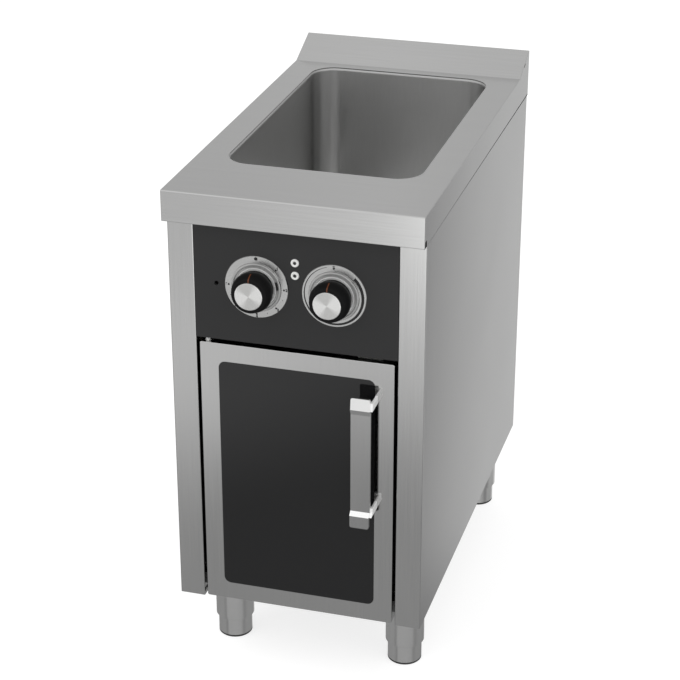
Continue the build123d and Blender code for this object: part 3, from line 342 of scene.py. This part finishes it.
bm = bmesh.new()
cells = floorLook["cells"]
bmesh.ops.create_grid(bm, x_segments=cells, y_segments=cells, size=floorLook["side"] / 2)
bm.transform(Matrix.Translation((0, 0, cadBox[0][2])))
floorMesh = bpy.data.meshes.new("floor")
bm.to_mesh(floorMesh)
bm.free()
floor = bpy.data.objects.new("floor", floorMesh)
scene.collection.objects.link(floor)
floor.visible_glossy = False  # the steel shows the pale surroundings instead
material, desk = newFinish("paleFloor")
seen = desk.node("LightPath", {}, {}, "Is Camera Ray")
seen = seen + desk.node("LightPath", {}, {}, "Is Glossy Ray")
seen = seen + desk.node("LightPath", {}, {}, "Is Transmission Ray")
glowing = desk.node("Emission", {}, {"Color": (1, 1, 1, 1), "Strength": floorLook["glow"]})
shadowed = desk.node("BsdfDiffuse", {}, {"Color": (*shade((1, 1, 1), floorLook["shadow"]), 1)})
pale = desk.node("AddShader", {}, {0: glowing, 1: shadowed})
plain = desk.node("BsdfDiffuse", {}, {"Color": (*shade((1, 1, 1), floorLook["bounce"]), 1)})
desk.node("OutputMaterial", {}, {"Surface": desk.node("MixShader", {}, {0: seen, 1: plain, 2: pale})})
floorMesh.materials.append(material)
print("studio ready")


def brushed(desk, look):
    # streaks along the grain, and clouds in the sheen
    stretch = [look["across"]] * 3
    stretch["xyz".index(look["grain"])] = look["along"]
    streak = desk.noise("streak", desk.place(stretch))
    cloud = desk.noise("sheen", desk.place(), look["cloudScale"])
    rough = look["roughness"] + swing(streak, look["streak"]) + swing(cloud, look["cloud"])
    return streak, desk.blend(streak, *vary(look)), rough


def brushedSteel(name, look):
    material, desk = newFinish(name)
    streak, tone, rough = brushed(desk, look)
    desk.close({"Base Color": tone, "Metallic": 1.0, "Roughness": rough}, streak, look)
    return material


sheetLook = {
    "tone": (0.560, 0.560, 0.556),
    "grain": "x",
    "along": 7.0,
    "across": 420.0,
    "contrast": 0.07,
    "roughness": 0.125,
    "streak": 0.06,
    "cloudScale": 5.0,
    "cloud": 0.04,
    "relief": 0.00004,
    "strength": 0.25,
}
coat(brushedSteel("worktopSteel", sheetLook), "worktop")
coat(brushedSteel("sideSteel", {**sheetLook, "grain": "z"}), "side_panel_left", "side_panel_right")

doorLook = {**sheetLook, "grain": "z", "roughness": 0.10}
coat(brushedSteel("doorSteel", doorLook), "door_skin")


def drawnBasin(name, look):
    # deep drawn sheet with a directed sheen on its walls, ground dull where its rim is welded in
    material, desk = newFinish(name)
    streak, tone, rough = brushed(desk, look)
    z = desk.height()
    rim = desk.spread(z, *look["rim"], 0, 1)
    sockets = {
        "Base Color": desk.blend(rim, tone, look["rimTone"]),
        "Metallic": 1.0,
        "Roughness": rough + rim * look["rimRoughness"],
        "Normal": desk.bump(streak, look),
    }
    bottom = desk.node("BsdfPrincipled", {}, sockets)
    sheen = {"Anisotropic": look["sheen"], "Anisotropic Rotation": look["sheenTurn"]}
    walls = desk.node("BsdfPrincipled", {}, {**sockets, **sheen})
    share = desk.spread(z, *look["wallStart"], 0, 1)
    mixed = desk.node("MixShader", {}, {0: share, 1: bottom, 2: walls})
    desk.node("OutputMaterial", {}, {"Surface": mixed})
    return material


basinLook = {
    **sheetLook,
    "tone": (0.550, 0.550, 0.546),
    "grain": "z",
    "along": 30.0,
    "across": 320.0,
    "contrast": 0.05,
    "roughness": 0.30,
    "sheen": 0.85,
    "sheenTurn": 0.25,  # a quarter turn, so that the sheen runs up and down
    "wallStart": (0.575, 0.615),
    "rim": (0.8268, 0.8288),
    "rimTone": (0.52, 0.52, 0.516),
    "rimRoughness": 0.06,
}
coat(drawnBasin("basinSteel", basinLook), "well_basin")
coat(brushedSteel("strainerSteel", {**basinLook, "grain": "x", "roughness": 0.24}), "drain_strainer")

insideLook = {
    **sheetLook,
    "tone": (0.52, 0.52, 0.52),
    "roughness": 0.30,
    "cloud": 0.12,
    "contrast": 0.05,
}
insideNodes = ["control_shelf", "cross_rails", "heat_shield", "element_clamps"]
coat(brushedSteel("insideSteel", insideLook), *insideNodes)
backLook = {**insideLook, "grain": "z", "roughness": 0.24}
coat(brushedSteel("backSteel", backLook), "back_panel", "door_liner")
pipeLook = {**insideLook, "along": 300.0, "across": 30.0, "grain": "z"}
coat(brushedSteel("pipeSteel", pipeLook), "drain_pipe", "drain_outlet")
# the base panel darkened far below the other steel: painted shade for the gaps beside the door
baseShadeLook = {**insideLook, "tone": (0.13, 0.13, 0.13), "roughness": 0.45}
coat(brushedSteel("baseSteelPaintedShade", baseShadeLook), "base_panel")


def handleWithPaintedGlints(name, look):
    # brushed bar, with painted highlights where its ends are folded
    material, desk = newFinish(name)
    streak, tone, rough = brushed(desk, look)
    z = desk.height()
    # each band is a painted highlight: a pale tone on a folded end
    for fold in look["folds"]:
        start = desk.step(z, fold["low"], look["glintSoft"], 0, 1)
        end = desk.step(z, fold["high"], look["glintSoft"], 1, 0)
        tone = desk.blend(start * end, tone, fold["tone"])
    desk.close({"Base Color": tone, "Metallic": 1.0, "Roughness": rough}, streak, look)
    return material


handleLook = {
    **sheetLook,
    "tone": (0.508, 0.508, 0.505),
    "grain": "z",
    "roughness": 0.115,
    "streak": 0.04,
    "contrast": 0.03,
    # the painted highlights on the folded ends, as height bands with their tones
    "folds": [
        {"low": 0.5182, "high": 0.5372, "tone": (0.715, 0.715, 0.711)},
        {"low": 0.3382, "high": 0.3442, "tone": (0.930, 0.930, 0.925)},
    ],
    "glintSoft": 0.0002,
}
coat(handleWithPaintedGlints("handleSatin", handleLook), "handle_plate")


def castSatin(name, look):
    # bead-blasted casting: a pale grainy skin with a little metal in it
    material, desk = newFinish(name)
    spot = desk.place()
    grain = desk.noise("grain", spot, look["grainScale"])
    cloud = desk.noise("cloud", spot, look["cloudScale"])
    tone = desk.blend((grain + cloud) / 2, look["dull"], look["tone"])
    rough = look["roughness"] + swing(grain, look["vary"])
    desk.close({"Base Color": tone, "Metallic": look["metal"], "Roughness": rough}, grain, look)
    return material


legLook = {
    "tone": (0.93, 0.93, 0.925),
    "dull": (0.85, 0.85, 0.845),
    "metal": 0.20,
    "roughness": 0.38,
    "vary": 0.12,
    "grainScale": 1400.0,
    "cloudScale": 60.0,
    "relief": 0.00004,
    "strength": 0.2,
}
coat(castSatin("legSatin", legLook), "handle_legs", "hinge_pin_upper")


def footSteel(name, look):
    # turned tube, dark, dull and not metal over its lowest few millimetres, and a dull line where the
    # foot goes into its sleeve
    material, desk = newFinish(name)
    z = desk.height()
    ring = desk.noise("grain", desk.node("CombineXYZ", {}, {2: z}), look["ringScale"])
    cloud = desk.noise("cloud", desk.place(), look["cloudScale"])
    darkBottom = desk.spread(z, *look["darkBottomEdge"], 1, 0)
    groove = desk.node("Math", {"operation": "ABSOLUTE"}, {0: z - look["groove"]})
    groove = desk.spread(groove, look["grooveWidth"] / 2, look["grooveWidth"], 1, 0)
    mixed = (ring + cloud) / 2
    tone = desk.blend(darkBottom, desk.blend(mixed, *vary(look)), look["darkBottomTone"])
    rough = look["roughness"] + swing(mixed, look["vary"])
    rough = rough + darkBottom * look["darkBottomRoughness"] + groove * look["grooveRoughness"]
    desk.close({"Base Color": tone, "Metallic": 1 - darkBottom, "Roughness": rough}, ring, look)
    return material


footLook = {
    "tone": (0.74, 0.74, 0.735),
    "contrast": 0.04,
    "roughness": 0.15,
    "vary": 0.08,
    "ringScale": 700.0,
    "cloudScale": 30.0,
    "darkBottomEdge": (0.0042, 0.0047),
    "darkBottomTone": (0.02, 0.02, 0.02),
    "darkBottomRoughness": 0.45,
    "groove": 0.0340,
    "grooveWidth": 0.0005,
    "grooveRoughness": 0.15,
    "relief": 0.00002,
    "strength": 0.15,
}
footCups = ["foot_front_left", "foot_front_right", "foot_rear_left", "foot_rear_right"]
coat(footSteel("footTube", footLook), "foot_sleeves", *footCups)
print("sheet metal finished")


def platedSteel(name, look):
    # zinc or nickel plating, with faint crystal patches
    material, desk = newFinish(name)
    spot = desk.place()
    patch = desk.node("TexVoronoi", {}, {"Vector": spot, "Scale": look["patchScale"]}, "Color")
    patch = desk.split(patch)[0]
    grain = desk.noise("grain", spot, look["grainScale"])
    mixed = patch * look["patch"] + grain * (1 - look["patch"])
    tone = desk.blend(mixed, look["dull"], look["tone"])
    rough = look["roughness"] + swing(mixed, look["vary"])
    desk.close({"Base Color": tone, "Metallic": 1.0, "Roughness": rough}, grain, look)
    return material


zincLook = {
    "tone": (0.64, 0.64, 0.62),
    "dull": (0.47, 0.48, 0.47),
    "patchScale": 260.0,
    "patch": 0.4,
    "grainScale": 900.0,
    "roughness": 0.30,
    "vary": 0.18,
    "relief": 0.00003,
    "strength": 0.2,
}
zincNodes = ["stud_nuts", "base_screws", "panel_screws", "hinge_bracket_lower", "handle_screws"]
coat(platedSteel("zincPlate", zincLook), *zincNodes, "knob_shaft_left", "knob_shaft_right")

nickelLook = {**zincLook, "tone": (0.66, 0.62, 0.54), "dull": (0.52, 0.47, 0.38), "roughness": 0.24}
nickelNodes = ["drain_locknut", "drain_valve_body", "drain_valve_ball", "earth_terminal"]
coat(platedSteel("nickelBrass", nickelLook), *nickelNodes)

elementLook = {
    **zincLook,
    "tone": (0.30, 0.25, 0.21),
    "dull": (0.14, 0.13, 0.14),
    "patchScale": 45.0,
    "patch": 0.2,
    "roughness": 0.42,
}
coat(platedSteel("heatedTube", elementLook), "heating_element")
print("plated parts finished")


def moulded(name, look):
    # painted, enamelled or moulded surface with a fine skin texture
    material, desk = newFinish(name)
    spot = desk.place()
    skin = desk.noise("skin", spot, look["skinScale"])
    cloud = desk.noise("cloud", spot, look["cloudScale"])
    tone = desk.blend(cloud, *vary(look))
    rough = look["roughness"] + swing(cloud, look["vary"]) + swing(skin, look["vary"])
    desk.close({"Base Color": tone, "Roughness": rough, "IOR": look["gloss"]}, skin, look)
    return material


panelLook = {
    "tone": (0.0170, 0.0170, 0.0174),
    "contrast": 0.06,
    "roughness": 0.42,
    "vary": 0.06,
    "gloss": 1.42,
    "skinScale": 1500.0,
    "cloudScale": 9.0,
    "relief": 0.00004,
    "strength": 0.18,
}
coat(moulded("panelPaint", panelLook), "control_panel")

glassLook = {
    **panelLook,
    "tone": (0.0080, 0.0080, 0.0084),
    "roughness": 0.045,
    "vary": 0.02,
    "gloss": 1.50,
    "skinScale": 60.0,
    "relief": 0.00001,
    "strength": 0.05,
}
coat(moulded("enamelledGlass", glassLook), "door_glass")

knobLook = {
    **panelLook,
    "tone": (0.0095, 0.0095, 0.0097),
    "roughness": 0.30,
    "gloss": 1.10,
    "skinScale": 700.0,
    "strength": 0.06,
}
coat(moulded("knobBlack", knobLook), "knob_left", "knob_right")

switchLook = {**panelLook, "tone": (0.028, 0.028, 0.029), "roughness": 0.50, "contrast": 0.15}
switchNodes = ["power_regulator", "thermostat", "safety_limiter", "lamp_bodies"]
coat(moulded("switchBlack", switchLook), *switchNodes)

buttonLook = {**panelLook, "tone": (0.001, 0.001, 0.001), "roughness": 0.55, "gloss": 1.05}
coat(moulded("buttonBlack", buttonLook), "reset_button")

pointerLook = {**panelLook, "tone": (0.14, 0.040, 0.014), "roughness": 0.35, "gloss": 1.4}
coat(moulded("pointerInlay", pointerLook), "knob_pointer_left", "knob_pointer_right")

lensLook = {
    **panelLook,
    "tone": (0.028, 0.028, 0.028),
    "roughness": 0.16,
    "gloss": 1.45,
    "contrast": 0.2,
}
coat(moulded("lampLens", lensLook), "lamp_lenses")

eyeletLook = {
    **panelLook,
    "tone": (0.80, 0.80, 0.79),
    "roughness": 0.28,
    "gloss": 1.5,
    "contrast": 0.03,
}
coat(moulded("lampEyelet", eyeletLook), "lamp_rings")

whiteLook = {**panelLook, "tone": (0.78, 0.78, 0.75), "roughness": 0.45, "contrast": 0.04}
coat(moulded("whiteNylon", whiteLook), "terminal_block", "door_bushes", "door_magnet")

greyLook = {**panelLook, "tone": (0.33, 0.33, 0.34), "roughness": 0.45}
coat(moulded("greyNylon", greyLook), "cable_gland")

leverLook = {
    **panelLook,
    "tone": (0.52, 0.022, 0.016),
    "roughness": 0.34,
    "gloss": 1.47,
    "contrast": 0.1,
}
coat(moulded("leverRed", leverLook), "drain_valve_lever")

rubberLook = {
    **panelLook,
    "tone": (0.022, 0.022, 0.022),
    "roughness": 0.75,
    "skinScale": 600.0,
    "strength": 0.35,
}
coat(moulded("blackRubber", rubberLook), "drain_gasket")

foamLook = {
    **panelLook,
    "tone": (0.74, 0.68, 0.50),
    "roughness": 0.9,
    "skinScale": 450.0,
    "relief": 0.0004,
    "strength": 0.6,
    "contrast": 0.1,
}
coat(moulded("foamBoard", foamLook), "door_core")
print("painted and moulded parts finished")


def woolBoard(name, look):
    # matted fibres lying mostly flat
    material, desk = newFinish(name)
    fibre = desk.noise("fibre", desk.place(look["stretch"]))
    tuft = desk.noise("grain", desk.place(), look["tuftScale"])
    mixed = fibre * look["fibre"] + tuft * (1 - look["fibre"])
    tone = desk.blend(mixed, look["dark"], look["pale"])
    rough = look["roughness"] + swing(tuft, look["vary"])
    desk.close({"Base Color": tone, "Roughness": rough}, fibre + tuft, look)
    return material


woolLook = {
    "dark": (0.30, 0.24, 0.10),
    "pale": (0.66, 0.57, 0.31),
    "stretch": (90, 90, 700),
    "fibre": 0.6,
    "tuftScale": 55.0,
    "roughness": 0.86,
    "vary": 0.2,
    "relief": 0.0015,
    "strength": 0.7,
}
coat(woolBoard("mineralWool", woolLook), "insulation_pad")

joints = {joint["name"]: joint for joint in frame["joints"]}
dials = {side: Vector(joints[side + "_knob_turn"]["pos_m"]) for side in ("left", "right")}
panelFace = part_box("control_panel")[0].y


def turnedRings(desk, look, axis):
    # metal turned about the knob's axis: fine rings, and a painted sheen in two opposite wedges of
    # the base colour
    x, z = desk.split(desk.place(middle=axis))[::2]
    flat = desk.node("CombineXYZ", {}, {0: x, 2: z})
    radius = desk.node("VectorMath", {"operation": "LENGTH"}, {0: flat}, 1)
    ring = desk.noise("ring", desk.node("CombineXYZ", {}, {0: radius}), look["ringScale"])
    angle = desk.node("Math", {"operation": "ARCTAN2"}, {0: x, 1: z})
    # painted sheen: lighter and darker sectors of the base colour that stand in for the turned
    # metal's reflection
    wave = desk.node("Math", {"operation": "COSINE"}, {0: (angle - look["sheenTurn"]) * 2})
    paintedWedge = desk.spread(wave, -look["paintedWedge"], look["paintedWedge"], 0, 1)
    mixed = paintedWedge * look["sheen"] + ring * (1 - look["sheen"])
    return radius, ring, desk.blend(mixed, look["dark"], look["pale"])


def turnedCap(name, look, axis):
    material, desk = newFinish(name)
    ring, tone = turnedRings(desk, look, axis)[1:]
    rough = look["roughness"] + swing(ring, look["vary"])
    desk.close({"Base Color": tone, "Metallic": look["metal"], "Roughness": rough}, ring, look)
    return material


def turnedPlate(name, look, axis):
    # a satin rim round the knob painted bright as a highlight, a collar darkened with painted shade,
    # then the polished ring with its edge darkened by painted shade
    material, desk = newFinish(name)
    radius, ring, tone = turnedRings(desk, look, axis)
    rim = desk.step(radius, look["rimEnd"], look["soft"], 1, 0)
    collar = desk.step(radius, look["collarEnd"], look["soft"], 1, 0)
    edge = desk.step(radius, look["edgeStart"], look["soft"], 0, 1)
    # the rim tone is a painted highlight; the collar and edge tones are painted shade
    for key, share in {"collarShade": collar, "edgeShade": edge, "rimTone": rim}.items():
        tone = desk.blend(share, tone, look[key])
    metal = 1 - rim * look["rimSatin"] - (collar - rim) * look["collarSatin"]
    rough = look["roughness"] + swing(ring, look["vary"]) + rim * look["rimRoughness"]
    desk.close({"Base Color": tone, "Metallic": metal, "Roughness": rough}, ring, look)
    return material


# where the painted sheen of the turned metal lies, and how soft its wedges are
turnedLook = {
    "sheenTurn": math.radians(75),
    "paintedWedge": 0.75,
    "vary": 0.12,
    "relief": 0.00003,
    "strength": 0.22,
}
# the cap's dark and pale tones, shared out by the sheen, carry its painted sheen
capLook = {
    **turnedLook,
    "metal": 0.85,
    "dark": (0.53, 0.53, 0.52),
    "pale": (0.86, 0.86, 0.85),
    "sheen": 0.72,
    "ringScale": 5200.0,
    "roughness": 0.26,
}
plateLook = {
    **turnedLook,
    "dark": (0.48, 0.48, 0.475),
    "pale": (0.60, 0.60, 0.595),
    "sheen": 0.25,
    "ringScale": 4200.0,
    "roughness": 0.25,
    "soft": 0.0002,
    "rimEnd": 0.0314,
    # the rim's pale tone is a painted highlight; the collar and edge tones below are painted shade
    "rimTone": (0.85, 0.85, 0.845),
    "rimSatin": 0.75,
    "rimRoughness": 0.12,
    "collarEnd": 0.0385,
    "collarShade": (0.42, 0.42, 0.416),
    "collarSatin": 0.6,
    "edgeStart": 0.0490,
    "edgeShade": (0.30, 0.30, 0.297),
}
for side, axis in dials.items():
    coat(turnedCap("cap_" + side, capLook, axis), "knob_cap_" + side)
    coat(turnedPlate("plate_" + side, plateLook, axis), "dial_plate_" + side)
print("dials and caps finished")

inkLook = {**panelLook, "tone": (0.014, 0.014, 0.014), "roughness": 0.5, "skinScale": 3000.0}
ink = moulded("dialInk", inkLook)

# printing on the dials, drawn flat and then put in place
printing = {"lift": 0.00182, "thickness": 0.0001, "dotSides": 28, "dotTaper": 0.96}


def onDial(side):
    # from the drawing plane (x right, y up, z to the front) to that dial
    move = Matrix.Translation((dials[side].x, panelFace, dials[side].z))
    return move @ Matrix.Rotation(math.radians(90), 4, "X")


def around(angle, radius, lift):
    # clockwise from the top
    turned = math.radians(angle)
    return Vector((radius * math.sin(turned), radius * math.cos(turned), lift))


def facing(angle, radius, lift):
    # the same place, turned to look outwards
    turned = Matrix.Rotation(math.radians(-angle), 4, "Z")
    return Matrix.Translation(around(angle, radius, lift)) @ turned


def addDot(bm, angle, radius, size):
    spot = Matrix.Translation(around(angle, radius, printing["lift"]))
    shape = {
        "segments": printing["dotSides"],
        "radius1": size,
        "radius2": size * printing["dotTaper"],
        "depth": printing["thickness"],
    }
    bmesh.ops.create_cone(bm, cap_ends=True, matrix=spot, **shape)


def addFigure(bm, text, angle, look):
    curve = bpy.data.curves.new("figure", "FONT")
    curve.body = text
    curve.size = look["figure"]
    curve.offset = look["stroke"]
    curve.align_x = "CENTER"
    curve.align_y = "CENTER"
    curve.extrude = printing["thickness"] / 2
    holder = bpy.data.objects.new("figure", curve)
    scene.collection.objects.link(holder)
    bpy.context.view_layer.update()
    shaped = holder.evaluated_get(bpy.context.evaluated_depsgraph_get())
    mesh = bpy.data.meshes.new_from_object(shaped)
    mesh.transform(Matrix.Translation(around(angle, look["figureRadius"], printing["lift"])))
    bm.from_mesh(mesh)
    bpy.data.objects.remove(holder)
    bpy.data.curves.remove(curve)
    bpy.data.meshes.remove(mesh)


def addBox(bm, size, matrix, offset, onlyUpright=False):
    # a box with all of its edges rounded, or only the upright ones
    made = bmesh.ops.create_cube(bm, size=1.0, matrix=matrix @ Matrix.Diagonal((*size, 1)))
    edges = list(dict.fromkeys(edge for vert in made["verts"] for edge in vert.link_edges))
    if onlyUpright:
        edges = [edge for edge in edges if abs(edge.verts[0].co.z - edge.verts[1].co.z) > size[2] / 2]
    bevel = {"offset": offset, "affect": "EDGES", "segments": 3, "profile": 0.5, "material": -1}
    bmesh.ops.bevel(bm, geom=edges, **bevel)


def finishPiece(bm, name, matrix, body, material):
    bm.transform(matrix)
    mesh = bpy.data.meshes.new(name)
    bm.to_mesh(mesh)
    bm.free()
    mesh.materials.append(material)
    piece = bpy.data.objects.new(name, mesh)
    scene.collection.objects.link(piece)
    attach(piece, body)


# left dial: a big dot at the top, then figures with a mark under each and a small dot between
scale = {
    "dotRadius": 0.0455,
    "bigDot": 0.0028,
    "markRadius": 0.0432,
    "mark": 0.0016,
    "betweenRadius": 0.0438,
    "between": 0.00065,
    "figureRadius": 0.0470,
    "figure": 0.0058,
    "stroke": 0.00036,
    "step": 45,
    "figures": "123456",
}

bm = bmesh.new()
addDot(bm, 0, scale["dotRadius"], scale["bigDot"])
for count, text in enumerate(scale["figures"], 1):
    angle = count * scale["step"]
    addDot(bm, angle, scale["markRadius"], scale["mark"])
    addFigure(bm, text, angle, scale)
    if count < len(scale["figures"]):
        addDot(bm, angle + scale["step"] / 2, scale["betweenRadius"], scale["between"])
finishPiece(bm, "dialPrintLeft", onDial("left"), "cabinet", ink)

# right dial: a dot and a bar at the top, and a band that widens round the scale
heatBand = {
    "start": -13,
    "end": -315,
    "outer": 0.0464,
    "startWidth": 0.0006,
    "endWidth": 0.0050,
    "steps": 96,
    "slack": 0.5,
    "dotRadius": 0.0442,
    "dot": 0.0019,
    "barRadius": 0.0472,
    "bar": (0.0042, 0.0012),
    "barRound": 0.00105,
}

# a strip spun from the start of the scale to its end, then thinned towards the start
bm = bmesh.new()
outer = heatBand["outer"]
radii = [outer - heatBand["endWidth"], outer]
first = [bm.verts.new(around(heatBand["start"], radius, printing["lift"])) for radius in radii]
edge = bm.edges.new(first)
sweep = math.radians(heatBand["end"] - heatBand["start"])
turning = {"axis": (0, 0, -1), "cent": (0, 0, 0), "angle": sweep, "steps": heatBand["steps"]}
bmesh.ops.spin(bm, geom=[*first, edge], **turning)
for vert in bm.verts:
    radius = vert.co.xy.length
    if radius < outer - heatBand["endWidth"] / 2:
        turned = math.degrees(math.atan2(vert.co.x, vert.co.y))
        # the slack keeps the strip's first edge from counting as a whole turn
        gone = (heatBand["start"] - turned + heatBand["slack"]) % 360 - heatBand["slack"]
        share = gone / (heatBand["start"] - heatBand["end"])
        width = between(heatBand["startWidth"], heatBand["endWidth"], share)
        vert.co.xy *= (outer - width) / radius
bmesh.ops.recalc_face_normals(bm, faces=bm.faces)
bmesh.ops.solidify(bm, geom=bm.faces[:], thickness=printing["thickness"])
addDot(bm, 0, heatBand["dotRadius"], heatBand["dot"])
barSize = (*heatBand["bar"], printing["thickness"])
barSpot = facing(0, heatBand["barRadius"], printing["lift"])
addBox(bm, barSize, barSpot, heatBand["barRound"], onlyUpright=True)
finishPiece(bm, "dialPrintRight", onDial("right"), "cabinet", ink)

# a black block in the left dial's inner rim: painted shade standing in for a slot
slotShadeLook = {
    "angle": 80,
    "radius": 0.0328,
    "lift": 0.00375,
    "size": (0.0128, 0.0029, 0.0019),
    "round": 0.0004,
}

bm = bmesh.new()
slotSpot = facing(slotShadeLook["angle"], slotShadeLook["radius"], slotShadeLook["lift"])
addBox(bm, slotShadeLook["size"], slotSpot, slotShadeLook["round"])
finishPiece(bm, "dialSlotShade", onDial("left"), "cabinet", ink)
print("dial printing done")

# pure black with hardly any gloss: painted shade
paintedShadeLook = {**rubberLook, "tone": (0.004, 0.004, 0.004), "gloss": 1.08, "contrast": 0.2}
paintedShadeFinish = moulded("blackPaintedShade", paintedShadeLook)


def addBlock(bm, low, high, offset):
    middle = (Vector(low) + Vector(high)) / 2
    addBox(bm, Vector(high) - Vector(low), Matrix.Translation(middle), offset)


# black pieces as painted shade: a bead under each side lip that thins to the front, for the dark
# seam, and blocks in the corner reliefs and the slits in the upstand's ends, where there is only
# shade
paintedShade = {
    "bead": ((0.1988, -0.3500, 0.7816), (0.1998, 0.3820, 0.7845)),
    "beadRound": 0.0003,
    "beadThin": 0.25,
    "corner": ((0.1958, -0.3605, 0.7828), (0.1998, -0.3480, 0.7950)),
    "cornerRound": 0.0005,
    "slitMiddle": (0.19948, 0.3450, 0.8453),
    "slit": (0.00090, 0.0106, 0.0021),
    "slitTilt": 21.8,
    "slitRound": 0.0002,
}
for side, sign in {"Left": -1, "Right": 1}.items():
    bm = bmesh.new()
    addBlock(bm, *paintedShade["bead"], paintedShade["beadRound"])
    low, high = paintedShade["bead"]
    for vert in bm.verts:
        share = (vert.co.y - low[1]) / (high[1] - low[1])
        vert.co.z = high[2] - (high[2] - vert.co.z) * between(paintedShade["beadThin"], 1, share)
    addBlock(bm, *paintedShade["corner"], paintedShade["cornerRound"])
    tilt = Matrix.Rotation(math.radians(paintedShade["slitTilt"]), 4, "X")
    addBox(bm, paintedShade["slit"], Matrix.Translation(paintedShade["slitMiddle"]) @ tilt, paintedShade["slitRound"])
    bmesh.ops.scale(bm, vec=(sign, 1, 1), verts=bm.verts)
    bmesh.ops.recalc_face_normals(bm, faces=bm.faces)
    finishPiece(bm, "paintedShade" + side, Matrix(), "cabinet", paintedShadeFinish)
print("paintedShades laid")
